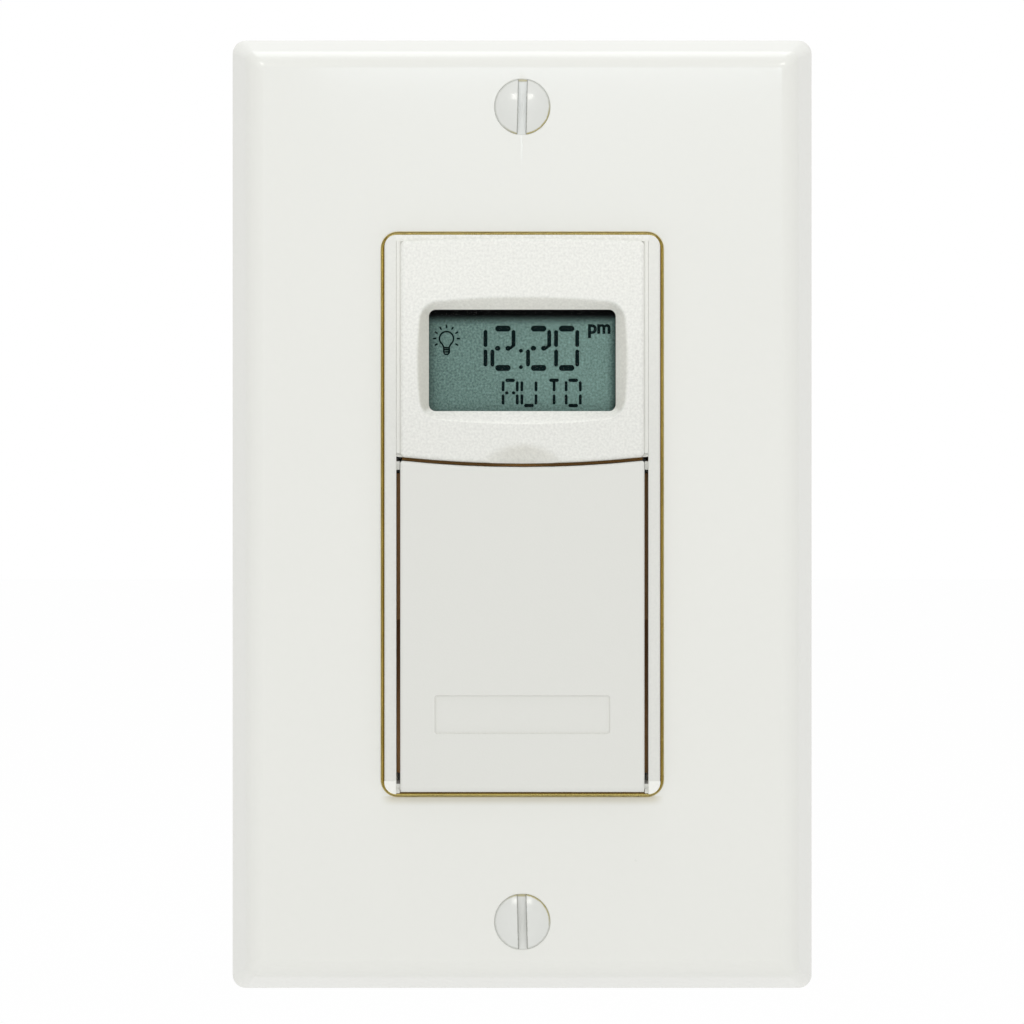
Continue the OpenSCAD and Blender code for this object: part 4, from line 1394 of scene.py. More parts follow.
    def stand(self) -> Self:
        """Stands the piece up into the frame.

        Returns:
            The piece.
        """
        self.alone()
        self.obj.rotation_euler = (math.pi / 2, 0, 0)
        self.obj.scale = (MM, MM, MM)
        return self.fix()

    def settle(self, body: Body, finish: Finish, *nodes: str) -> Self:
        """Gives the piece its finish and its place in the model.

        Args:
            body: The body that it rides on.
            finish: The finish.
            *nodes: CAD nodes that it stands for.

        Returns:
            The piece.
        """
        finish.cover(self.obj)
        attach(self.obj, body.value)
        if nodes:
            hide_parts(*nodes)
        LOG.info("%s: %d faces, rides on %s", self.obj.name, len(self.obj.data.polygons), body.value)
        return self


def round_ring(radius: float, level: float, sides: int = TURNED_SIDES) -> Ring:
    """Gives a circle.

    Args:
        radius: Its radius.
        level: Its level.
        sides: Number of points.

    Returns:
        The points.
    """
    turns = (2 * math.pi * step / sides for step in range(sides))
    return [Vector((radius * math.cos(turn), radius * math.sin(turn), level)) for turn in turns]


def corner_ring(half_w: float, half_h: float, radius: float, level: float,
                middle: Sequence[float] = (0, 0)) -> Ring:
    """Gives a rectangle with round corners.

    Args:
        half_w: Half its width.
        half_h: Half its height.
        radius: Radius of its corners.
        level: Its level.
        middle: Its middle.

    Returns:
        The points, from the right side round to the left.
    """
    arcs = []
    for number, (side, end) in enumerate(((1, 1), (-1, 1), (-1, -1), (1, -1))):
        hub = Vector((middle[0] + side * (half_w - radius), middle[1] + end * (half_h - radius), level))
        turns = (math.radians(90 * (number + step / CORNER_STEPS)) for step in range(CORNER_STEPS + 1))
        arcs.append([hub + radius * Vector((math.cos(turn), math.sin(turn), 0)) for turn in turns])
    ring = []
    for arc, following in zip(arcs, arcs[1:] + arcs[:1]):
        ring += arc
        ring += [arc[-1].lerp(following[0], step / SIDE_STEPS) for step in range(1, SIDE_STEPS)]
    return ring


def arched_ring(half_w: float, radius: float, level: float, low: Callable[[float], float],
                high: Callable[[float], float]) -> Ring:
    """Gives a rectangle with round corners and curved ends.

    Args:
        half_w: Half its width.
        radius: Radius of its corners.
        level: Its level.
        low: Gives the height of its lower end at a place across it.
        high: Gives the height of its upper end at a place across it.

    Returns:
        The points.
    """
    foot, head = low(half_w), high(half_w)
    ring = corner_ring(half_w, (head - foot) / 2, radius, level, (0, (head + foot) / 2))
    for point in ring:
        share = (point.y - foot) / (head - foot)
        point.y = low(point.x) + share * (high(point.x) - low(point.x))
    return ring


def bow(ring: Ring, half: Pair, more: Pair, middle: Sequence[float]) -> Ring:
    """Bows the sides of a rectangle out.

    Args:
        ring: The rectangle.
        half: Half its width and half its height.
        more: How far the sides and the ends bow out.
        middle: Its middle.

    Returns:
        The bowed outline.
    """
    bowed = []
    for point in ring:
        across, up = (point.x - middle[0]) / half[0], (point.y - middle[1]) / half[1]
        out = Vector((more[0] * across * (1 - up * up), more[1] * up * (1 - across * across), 0))
        bowed.append(point + out)
    return bowed


def quarter(radius: float, steps: int = 5) -> list[Pair]:
    """Gives a rounded edge.

    Args:
        radius: Its radius.
        steps: Number of steps.

    Returns:
        Pairs of inset and drop, from the side of the edge to its top.
    """
    turns = (math.radians(90 * step / steps) for step in range(steps + 1))
    return [(radius * (1 - math.cos(turn)), radius * (1 - math.sin(turn))) for turn in turns]


PLATE_PAINT = PlatePlastic("plate_gloss", (233, 233, 227), roughness=0.3, grain=0.9, depth=0.006,
                           speckle=0.012, mottle=0.012, cloud=20, coat=0.5)
FACE_PLASTIC = FacePlastic("face_satin", (234, 234, 228), roughness=0.55, grain=0.3, depth=0.016,
                           speckle=0.38, mottle=0.012)
# Finishes of the dark strips that stand in for the shade in the gaps round the door.
SIDE_GAP_SHADE = GapShadeFinish("face_satin", (136, 100, 60), roughness=0.7, grain=0.3, depth=0.01, speckle=0.2)
JOINT_GAP_SHADE = MouldedPlastic("face_satin", (108, 74, 16), roughness=0.7, grain=0.3, depth=0.01,
                             speckle=0.2)
TRIM_PLATING = TrimPlating("strap_zinc", (204, 180, 92), (182, 158, 78), roughness=0.26)
DOOR_PLASTIC = MouldedPlastic("door_satin", (224, 224, 218), roughness=0.5, grain=0.2, depth=0.008,
                              speckle=0.03, mottle=0.012)
KEY_PLASTIC = MouldedPlastic("key_grey", (140, 146, 149), roughness=0.5, grain=0.25, depth=0.008)
PRINT_INK = MouldedPlastic("key_grey", (52, 56, 60), roughness=0.6, grain=0.1, depth=0.002)
LCD_INK = MouldedPlastic("lcd_film", (0, 20, 20), roughness=0.5, grain=0.12, depth=0.002, speckle=0.4,
                         sheen=0.05)
HOUSING_PLASTIC = MouldedPlastic("housing_black", (34, 34, 36), roughness=0.5, grain=0.35, depth=0.02,
                                 speckle=0.2, mottle=0.1)
BLACK_MOULDING = MouldedPlastic("part_black", (22, 22, 24), roughness=0.45, grain=0.2, depth=0.01,
                                speckle=0.2)
ZINC_STRAP = PlatedMetal("strap_zinc", (186, 150, 70), (150, 138, 74), roughness=0.38)
STEEL = PlatedMetal("steel", (172, 173, 174), (148, 148, 146), roughness=0.33)
BRASS = PlatedMetal("brass", (196, 160, 84), (168, 128, 60), roughness=0.3, run=(12.0, 1.0, 1.0))
NICKEL = PlatedMetal("nickel", (186, 184, 176), (160, 158, 150), roughness=0.28)
BOARD = CircuitBoard("board_green", (24, 82, 44), (84, 124, 60))


@dataclass
class WallPlate:
    """The bevelled plate around the face."""

    wall: float = 1.6
    lip: float = 0.5
    slope: float = 63.0
    edge_r: float = 2.7
    edge_steps: int = 12
    corner_r: float = 1.6
    corner_ease: float = 0.25
    least_r: float = 0.6
    foot_r: float = 0.15
    opening_r: float = 1.95
    mouth_r: float = 0.15
    boss_r: float = 4.2
    boss_back: float = 1.45
    hole_gap: float = 0.25
    hole_sides: int = 64
    head_gap: float = 0.02
    flare: float = 0.08
    flare_steps: int = 3

    def __post_init__(self) -> None:
        """Takes the plate's outside from the frame."""
        self.half_w, self.half_h, self.depth = lying_box("wall_plate")[1]

    def outline(self, inset: float, level: float) -> Ring:
        """Gives the plate's outline drawn in by an inset."""
        radius = max(self.corner_r - self.corner_ease * inset, self.least_r)
        return corner_ring(self.half_w - inset, self.half_h - inset, radius, level)

    def side(self) -> list[Pair]:
        """Gives the plate's side from the wall to the flat face.

        Returns:
            Pairs of inset and level.
        """
        slope = math.radians(self.slope)
        drop = self.edge_r * (1 - math.cos(slope))
        run = (self.depth - self.lip - drop) / math.tan(slope)
        rows = [(0.0, self.lip)]
        for step in range(self.edge_steps + 1):
            lean = slope * (1 - step / self.edge_steps)
            rows.append((run + self.edge_r * (math.sin(slope) - math.sin(lean)),
                         self.depth - self.edge_r * (1 - math.cos(lean))))
        return rows

    def shell(self) -> Workpiece:
        """Lofts the plate round its opening, and back inside to the rim.

        Returns:
            The plate without its screw holes.
        """
        side = self.side()
        rings = [self.outline(self.foot_r, 0), self.outline(0, self.foot_r)]
        rings += [self.outline(inset, level) for inset, level in side]
        half_w, half_h = SIZES.opening_half
        for inset, drop in reversed(quarter(self.mouth_r)):
            rings.append(corner_ring(half_w + inset, half_h + inset, self.opening_r + inset,
                                     self.depth - drop))
        rings.append(corner_ring(half_w, half_h, self.opening_r, self.depth - self.wall))
        for inset, level in reversed(side):
            if level > self.wall:
                rings.append(self.outline(inset + self.wall, level - self.wall))
        rings.append(self.outline(self.wall, 0))
        return Workpiece.loft("wall_plate_shell", rings, closed=True)

    def screw_hole(self, screw_y: float) -> Workpiece:
        """Turns the tool for one countersunk hole.

        Args:
            screw_y: The hole's height.

        Returns:
            The tool.
        """
        hole = SIZES.screw_d / 2 + self.hole_gap
        head = SIZES.head_d / 2 + self.head_gap
        profile = [(hole, -PAST), (hole, self.depth - SIZES.cone_h + self.hole_gap)]
        profile += [(head + inset, self.depth - drop)
                    for inset, drop in quarter(self.flare, self.flare_steps)]
        profile.append((head + self.flare, self.depth + PAST))
        return Workpiece.lathe("screw_hole", profile, self.hole_sides).shift((0, screw_y, 0))

    def build(self) -> None:
        """Models the plate and gives it its finish."""
        plate = self.shell()
        for side in SIDES:
            screw_y = side * SIZES.screw_up
            boss = Workpiece.lathe("boss", [(self.boss_r, self.boss_back),
                                            (self.boss_r, self.depth - self.wall / 2)])
            plate.fuse(boss.shift((0, screw_y, 0)))
            plate.cut(self.screw_hole(screw_y))
        plate.smooth(angle=30).stand().settle(Body.SWITCH, PLATE_PAINT, "wall_plate")


@dataclass
class PlateScrews:
    """The two painted oval-head screws of the plate."""

    core_d: float = 2.8
    rim: float = 0.14
    dome: float = 0.9
    dome_steps: int = 10
    head_sides: int = 72
    slot_w: float = 1.06
    slot_depth: float = 1.0
    slot_lean: float = 1.4
    edge: float = 0.07
    thread_pitch: float = 0.79
    thread_h: float = 0.55
    thread_end: float = 2.0
    thread_steps: int = 24
    lap: float = 0.1
    point: float = 0.8

    def __post_init__(self) -> None:
        """Takes the length of the screws from the frame."""
        low, high = lying_box("plate_screws")
        self.tip, self.top = low.z, high.z
        self.seat = self.top - self.dome

    def blank(self) -> Workpiece:
        """Turns the screw without its slot and its thread.

        Returns:
            The turned screw.
        """
        head, core = SIZES.head_d / 2, self.core_d / 2
        ball = (head ** 2 + self.dome ** 2) / 2 / self.dome
        profile = [(core / 2, self.tip), (core, self.tip + self.point), (core, self.seat - SIZES.cone_h),
                   (head, self.seat - self.rim)]
        for step in range(self.dome_steps):
            radius = head * (1 - step / self.dome_steps)
            profile.append((radius, self.top - ball + math.sqrt(ball ** 2 - radius ** 2)))
        return Workpiece.lathe("plate_screw", profile, self.head_sides)

    def thread(self) -> Workpiece:
        """Winds the thread from a small closed section.

        Returns:
            The closed ridge.
        """
        root, crest = self.core_d / 2 - self.lap, SIZES.screw_d / 2
        start = self.tip + self.point
        half = self.thread_h / 2
        section = ((root, -half), (crest, -half / 4), (crest, half / 4), (root, half))
        deselect()
        bpy.ops.mesh.primitive_circle_add(vertices=len(section), fill_type="NOTHING")
        ridge = Workpiece("thread", bpy.context.object)
        bpy.ops.object.mode_set(mode="EDIT")
        ridge.put_points(range(len(section)), [Vector((radius, 0, start + rise)) for radius, rise in section])
        bpy.ops.object.mode_set(mode="OBJECT")
        ridge.apply("SCREW", angle=2 * math.pi, screw_offset=self.thread_pitch,
                    iterations=int((self.seat - self.thread_end - start) / self.thread_pitch),
                    steps=self.thread_steps, render_steps=self.thread_steps, use_merge_vertices=False)
        bpy.ops.object.mode_set(mode="EDIT")
        bpy.ops.mesh.select_all(action="SELECT")
        bpy.ops.mesh.fill_holes(sides=0)
        bpy.ops.mesh.select_all(action="SELECT")
        bpy.ops.mesh.normals_make_consistent(inside=False)
        bpy.ops.object.mode_set(mode="OBJECT")
        return ridge

    def build(self) -> None:
        """Models one screw, copies it and gives both their finish."""
        screw = self.blank()
        screw.cut(Workpiece.box("slot", (-self.slot_w / 2, -SIZES.head_d, self.top - self.slot_depth),
                                (self.slot_w / 2, SIZES.head_d, self.top + PAST)))
        screw.soften(self.edge, angle=40).gather([self.thread()])
        paint = PaintedHead("screw_paint", SIZES.screw_up, SIZES.head_d / 2, self.slot_w,
                            lean=math.tan(math.radians(self.slot_lean)))
        for name, side in (("plate_screw_lower", -1), ("plate_screw_upper", 1)):
            piece = screw.copy(name).turn(-side * self.slot_lean, Axis.Z).shift((0, side * SIZES.screw_up, 0))
            piece.smooth().stand().settle(Body.SWITCH, paint, "plate_screws")
        bpy.data.objects.remove(screw.obj, do_unlink=True)


@dataclass
class FaceFrame:
    """The face around the display and the door, with the raised panel set into it."""

    edge: float = 0.1
    edge_r: float = 0.6
    panel_top: float = 32.63
    panel_sag: float = 0.36
    panel_r: float = 0.5
    step: float = 0.8
    seat: float = 6.5
    window_r: float = 0.8
    window_edge: float = 0.05
    surround_r: float = 1.8
    surround_depth: float = 1.2
    surround_soft: float = 0.3
    surround_steps: int = 12
    scoop_ball: float = 14.0
    scoop_soft: float = 2.0
    scoop_steps: int = 24
    scoop_sides: int = 128
    bead_edge: float = 0.06
    bead_steps: int = 4
    bead_gap: float = 0.012
    bead_up: Pair = (7.2, 32.8)
    rail_end: float = 1.55
    rail_end_r: float = 1.39
    rail_end_rise: float = 0.04
    web_level: Pair = (5.4, 6.55)
    hinge_up: float = -31.95
    lap: float = 0.01

    def __post_init__(self) -> None:
        """Takes the panel's front from the door, which lies level with it, and the rails' from the frame."""
        self.front = lying_box("access_door")[1].z
        self.rail_front = lying_box("front_frame")[1].z - self.step

    def outline(self, inset: float, level: float) -> Ring:
        """Gives the raised panel's outline.

        Args:
            inset: How far it is drawn in.
            level: Its level.

        Returns:
            The outline.
        """
        def high(across: float) -> float:
            """Gives the height of the arched top."""
            return self.panel_top - inset - self.panel_sag * (across / SIZES.door_half_w) ** 2

        return arched_ring(SIZES.door_half_w - inset, self.panel_r, level,
                           lambda across: SIZES.joint(across, -inset), high)

    def slope(self) -> list[Ring]:
        """Gives the soft slope down to the window.

        Returns:
            The rings from its upper edge to the window.
        """
        middle = (0, SIZES.window_up)
        outer = bow(corner_ring(*SIZES.surround_half, self.surround_r, 0, middle), SIZES.surround_half,
                    SIZES.surround_bow, middle)
        inner = corner_ring(*SIZES.window_half, self.window_r, 0, middle)
        soft = self.surround_soft
        rings = []
        for number in range(self.surround_steps + 1):
            share = number / self.surround_steps
            fall = share ** 2 / (2 * soft) if share < soft else share - soft / 2
            drop = Vector((0, 0, self.front - self.surround_depth * fall / (1 - soft / 2)))
            rings.append([one.lerp(two, share) + drop for one, two in zip(outer, inner)])
        return rings

    def scoop(self) -> Workpiece:
        """Turns the tool for the thumb scoop, a ball that runs out softly into the face.

        Returns:
            The tool.
        """
        ball, soft = self.scoop_ball, self.scoop_soft
        lean = math.asin(SIZES.scoop_r / (ball + soft))
        depth = (ball + soft) * (1 - math.cos(lean))
        turns = [lean * (step + 1) / self.scoop_steps for step in range(self.scoop_steps)]
        profile = [(ball * math.sin(turn), ball * (1 - math.cos(turn)) - depth) for turn in turns]
        profile += [((ball + soft) * math.sin(lean) - soft * math.sin(turn), soft * (math.cos(turn) - 1))
                    for turn in reversed(turns[1:-1])]
        profile += [(SIZES.scoop_r, self.lap), (SIZES.scoop_r, PAST)]
        tool = Workpiece.lathe("scoop", profile, self.scoop_sides)
        return tool.shift((0, SIZES.scoop_up, self.front))

    def panel(self) -> Workpiece:
        """Lofts the raised panel from its seat over its round edge and down to the window.

        Returns:
            The panel with its scoop.
        """
        rings = [self.outline(0, self.seat + self.lap)]
        rings += [self.outline(inset, self.front - drop)
                  for inset, drop in quarter(self.edge_r, ROUND_STEPS)]
        rings += self.slope()
        half_w, half_h = (half - self.window_edge for half in SIZES.window_half)
        for level in (self.front - self.surround_depth - self.window_edge, self.seat + self.lap):
            rings.append(corner_ring(half_w, half_h, self.window_r, level, (0, SIZES.window_up)))
        return Workpiece.loft("display_panel", rings, closed=True).cut(self.scoop())

    def rail_parts(self, side: int) -> list[Workpiece]:
        """Shapes the block at a rail's end, the web under its hinge pin and the bead in its groove.

        Args:
            side: -1 for left, 1 for right.

        Returns:
            The three pieces.
        """
        inner, door_side = SIZES.rail_inner, SIZES.door_half_w
        outer, foot = SIZES.face_half
        tip = Workpiece.side_box("rail_end", side, (inner, outer), (-foot, self.rail_end - foot),
                                 (self.web_level[0], self.rail_front + self.rail_end_rise))
        tip.bevel(lambda at, way: abs(way.z) > ALONG and abs(at.x) > outer - self.lap
                  and at.y < self.lap - foot, self.rail_end_r, ROUND_STEPS)
        web = Workpiece.side_box("pin_web", side, (inner + self.edge, door_side + self.edge),
                                 (self.edge / 2 - foot, self.hinge_up), self.web_level)
        bead = Workpiece.side_box("groove_bead", side, (inner - self.bead_gap, door_side + self.bead_gap),
                                  self.bead_up, (self.seat, self.rail_front - self.edge / 3))
        return [tip.soften(self.edge), web.soften(self.edge / 2),
                bead.soften(self.bead_edge, self.bead_steps)]

    def build(self) -> None:
        """Models the panel, makes room for it in the frame and gives both their finish."""
        face = Workpiece.copy_of("face_frame", "front_frame")
        pocket = Workpiece.loft("pocket", [self.outline(-self.lap, level)
                                           for level in (self.seat, self.front + self.step)])
        face.cut(pocket.stand()).soften(self.edge * MM, angle=40)
        face.gather([piece.stand() for side in SIDES for piece in self.rail_parts(side)]).smooth(angle=32)
        face.settle(Body.SWITCH, FACE_PLASTIC, "front_frame")
        panel = self.panel().smooth(angle=28).stand()
        panel.settle(Body.SWITCH, FACE_PLASTIC)


@dataclass
class TrimRing:
    """The plated ring under the plate that shows in the gap round the face."""

    width: float = 1.9
    low: float = 3.66
    high: float = 3.94
    edge: float = 0.06

    def outline(self, out: float, level: float) -> Ring:
        """Gives the ring's inner outline moved outwards."""
        half_w, half_h = SIZES.ring_half
        return corner_ring(half_w + out, half_h + out, SIZES.ring_r + out, level)

    def build(self) -> None:
        """Lofts the ring with broken edges and gives it its finish."""
        rows = ((0, self.low), (0, self.high - self.edge), (self.edge, self.high),
                (self.width - self.edge, self.high), (self.width, self.high - self.edge),
                (self.width, self.low))
        ring = Workpiece.loft("trim_ring", [self.outline(*row) for row in rows], closed=True)
        ring.smooth(angle=30).stand().settle(Body.SWITCH, TRIM_PLATING)


@dataclass
class DoorGapShades:
    """The dark brown strips that stand in for the shade in the gaps beside the door and above it."""

    across: Pair = (14.46, 14.92)
    up: Pair = (-30.7, 4.9)
    level: Pair = (4.6, 5.3)
    edge: float = 0.1
    joint_out: Pair = (-0.01, 0.35)
    joint_level: Pair = (6.3, 6.7)
    joint_half: float = 14.2
    joint_steps: int = 28

    def arc(self, level: float) -> Ring:
        """Gives the outline of the strip above the door.

        Args:
            level: The level of the outline.

        Returns:
            The outline.
        """
        steps = [self.joint_half * (2 * step / self.joint_steps - 1) for step in range(self.joint_steps + 1)]
        inner, outer = ([Vector((across, SIZES.joint(across, out), level)) for across in steps]
                        for out in self.joint_out)
        return outer + inner[::-1]

    def build(self) -> None:
        """Shapes the three strips and gives them their finish."""
        # A dark strip in the joint above the door, standing in for its shade.
        strip = Workpiece.loft("door_seal_upper", [self.arc(level) for level in self.joint_level])
        strip.smooth(angle=30).stand().settle(Body.SWITCH, JOINT_GAP_SHADE)
        # Dark strips in the gaps beside the door, standing in for their shade.
        for name, side in (("door_seal_left", -1), ("door_seal_right", 1)):
            strip = Workpiece.side_box(name, side, self.across, self.up, self.level)
            strip.soften(self.edge).smooth(angle=30).stand()
            strip.settle(Body.SWITCH, SIDE_GAP_SHADE)


@dataclass
class Door:
    """The hinged door with its bare plaque."""

    joint_gap: float = 0.43
    low_y: float = -32.8
    thick: float = 1.6
    edge_r: float = 0.4
    corner_r: float = 0.35
    foot_r: float = 0.7
    knuckle: float = 2.8
    knuckle_r: float = 1.3
    knuckle_steps: int = 6
    hinge_rise: float = 0.85
    hinge_depth: float = 1.5
    bore_d: float = 1.22
    bore_l: float = 0.7
    bore_sides: int = 32
    rib_w: float = 1.1
    rib_h: float = 1.0
    rib_gap: float = 1.0
    rib_edge: float = 0.2
    rib_steps: int = 3
    boss_r: float = 2.0
    boss_tip: float = 6.09
    boss_edge: float = 0.1
    plaque_half: Pair = (10.3, 2.25)
    plaque_y: float = -23.6
    plaque_depth: float = 0.25
    plaque_r: float = 0.3
    plaque_edge: float = 0.07
    lap: float = 0.02

    def __post_init__(self) -> None:
        """Takes the door's front from the frame."""
        self.half_w = SIZES.door_half_w
        self.front = lying_box("access_door")[1].z
        self.back = self.front - self.thick

    def top(self, across: float, inset: float = 0.0) -> float:
        """Gives the height of the door's hollow upper edge at a place across it."""
        return SIZES.joint(across, self.joint_gap + inset)

    def outline(self, inset: float, level: float) -> Ring:
        """Gives the door's outline at a level.

        Args:
            inset: How far its sides and its top are drawn in.
            level: The level, from which the round of the lower end follows.

        Returns:
            The outline.
        """
        into_round = min(max(0.0, level - (self.front - self.foot_r)), self.foot_r)
        low = self.low_y + self.foot_r - math.sqrt(self.foot_r ** 2 - into_round ** 2)
        return arched_ring(self.half_w - inset, self.corner_r, level, lambda across: low,
                           lambda across: self.top(across, inset))

    def plaque(self, inset: float, level: float) -> Ring:
        """Gives the plaque's outline drawn in by an inset."""
        half_w, half_h = self.plaque_half
        return corner_ring(half_w - inset, half_h - inset, self.plaque_r, level, (0, self.plaque_y))

    def leaf(self) -> Workpiece:
        """Lofts the leaf from its back over its rounded edge into the plaque.

        Returns:
            The leaf.
        """
        rings = [self.outline(0, self.back)]
        rings += [self.outline(inset, self.front - drop)
                  for inset, drop in quarter(self.edge_r, ROUND_STEPS)]
        soft, floor = self.plaque_edge, self.front - self.plaque_depth
        rings += [self.plaque(-soft, self.front), self.plaque(-soft / 3, self.front - soft / 3),
                  self.plaque(0, self.front - soft), self.plaque(0, floor + soft),
                  self.plaque(soft / 3, floor + soft / 3), self.plaque(soft, floor)]
        return Workpiece.loft("door_leaf", rings)

    def thick_end(self) -> Workpiece:
        """Shapes the thick lower end that takes the pins.

        Returns:
            The block with its round lower edge.
        """
        half_w = self.half_w - self.lap
        low = (-half_w, self.low_y + self.lap, self.front - self.knuckle)
        high = (half_w, self.low_y + self.knuckle, self.front - self.foot_r + self.lap)
        end = Workpiece.box("thick_end", low, high)
        return end.bevel(lambda at, way: abs(way.x) > ALONG and at.z < low[2] + self.lap,
                         self.knuckle_r, self.knuckle_steps)

    def bore(self, side: int) -> Workpiece:
        """Turns the tool for the pin's bore on one side.

        Args:
            side: -1 for left, 1 for right.

        Returns:
            The tool.
        """
        radius = self.bore_d / 2
        bore = Workpiece.lathe("bore", [(radius, -self.bore_l), (radius, self.bore_l)], self.bore_sides)
        return bore.turn(90, Axis.Y).shift((side * self.half_w, self.low_y + self.hinge_rise,
                                         self.front - self.hinge_depth))

    def rib(self, side: int) -> Workpiece:
        """Shapes the stiffening rib on one side.

        Args:
            side: -1 for left, 1 for right.

        Returns:
            The rib.
        """
        outer = self.half_w - self.lap
        up = (self.low_y + self.knuckle - self.lap, self.top(self.half_w) - self.rib_gap)
        rib = Workpiece.side_box("rib", side, (outer - self.rib_w, outer), up,
                                 (self.back - self.rib_h, self.back + self.lap))
        return rib.bevel(lambda at, way: abs(way.y) > ALONG and at.z < self.back - self.rib_h / 2,
                         self.rib_edge, self.rib_steps)

    def build(self) -> None:
        """Models the door and gives it its finish."""
        door = self.leaf().fuse(self.thick_end())
        for side in SIDES:
            door.cut(self.bore(side)).fuse(self.rib(side))
        door.fuse(Workpiece.lathe("boss", [(self.boss_r - self.boss_edge, self.boss_tip),
                                           (self.boss_r, self.boss_tip + self.boss_edge),
                                           (self.boss_r, self.back + self.lap)]))
        door.smooth(angle=32).stand().settle(Body.DOOR, DOOR_PLASTIC, "access_door")


@dataclass(frozen=True)
class DigitSize:
    """Sizes of the bars of one digit."""

    spacing: float
    flat_y: float
    flat_l: float
    flat_w: float
    upright_y: float
    upright_l: float
    upright_w: float
    dot_x: float
    dot_l: float
    dot_w: float


@dataclass(frozen=True)
class LampSign:
    """Place and sizes of the small lamp sign."""

    at: Pair = (-9.0, 20.87)
    radius: float = 0.93
    line: float = 0.19
    start: float = -52.0
    sweep: float = 284.0
    steps: int = 30
    neck: float = 0.42
    neck_up: float = -1.02
    foot: float = 0.2
    foot_up: float = -1.95
    foot_cut: float = 0.25
    turns_up: Triple = (-1.08, -1.32, -1.58)
    rays: range = range(-30, 211, 30)
    ray_gap: float = 0.48
    ray_l: float = 0.42

    def outlines(self) -> tuple[list[Pair], list[Pair]]:
        """Gives the outline of the bulb and its neck, and the same drawn in by the width of the line.

        Returns:
            Both rows of points, measured from the middle of the bulb.
        """
        angles = (math.radians(self.start + self.sweep * step / self.steps) for step in range(self.steps + 1))
        neck = [(self.neck, self.neck_up), (self.neck, self.foot_up + self.foot_cut),
                (self.foot, self.foot_up)]
        outer = [(self.radius * math.cos(angle), self.radius * math.sin(angle)) for angle in angles]
        outer += [(-across, up) for across, up in neck] + neck[::-1]
        inner = []
        for before, (across, up), after in zip(outer[-1:] + outer[:-1], outer, outer[1:] + outer[:1]):
            way = (Vector(after) - Vector(before)).normalized()
            inner.append((across - way.y * self.line, up + way.x * self.line))
        return outer, inner


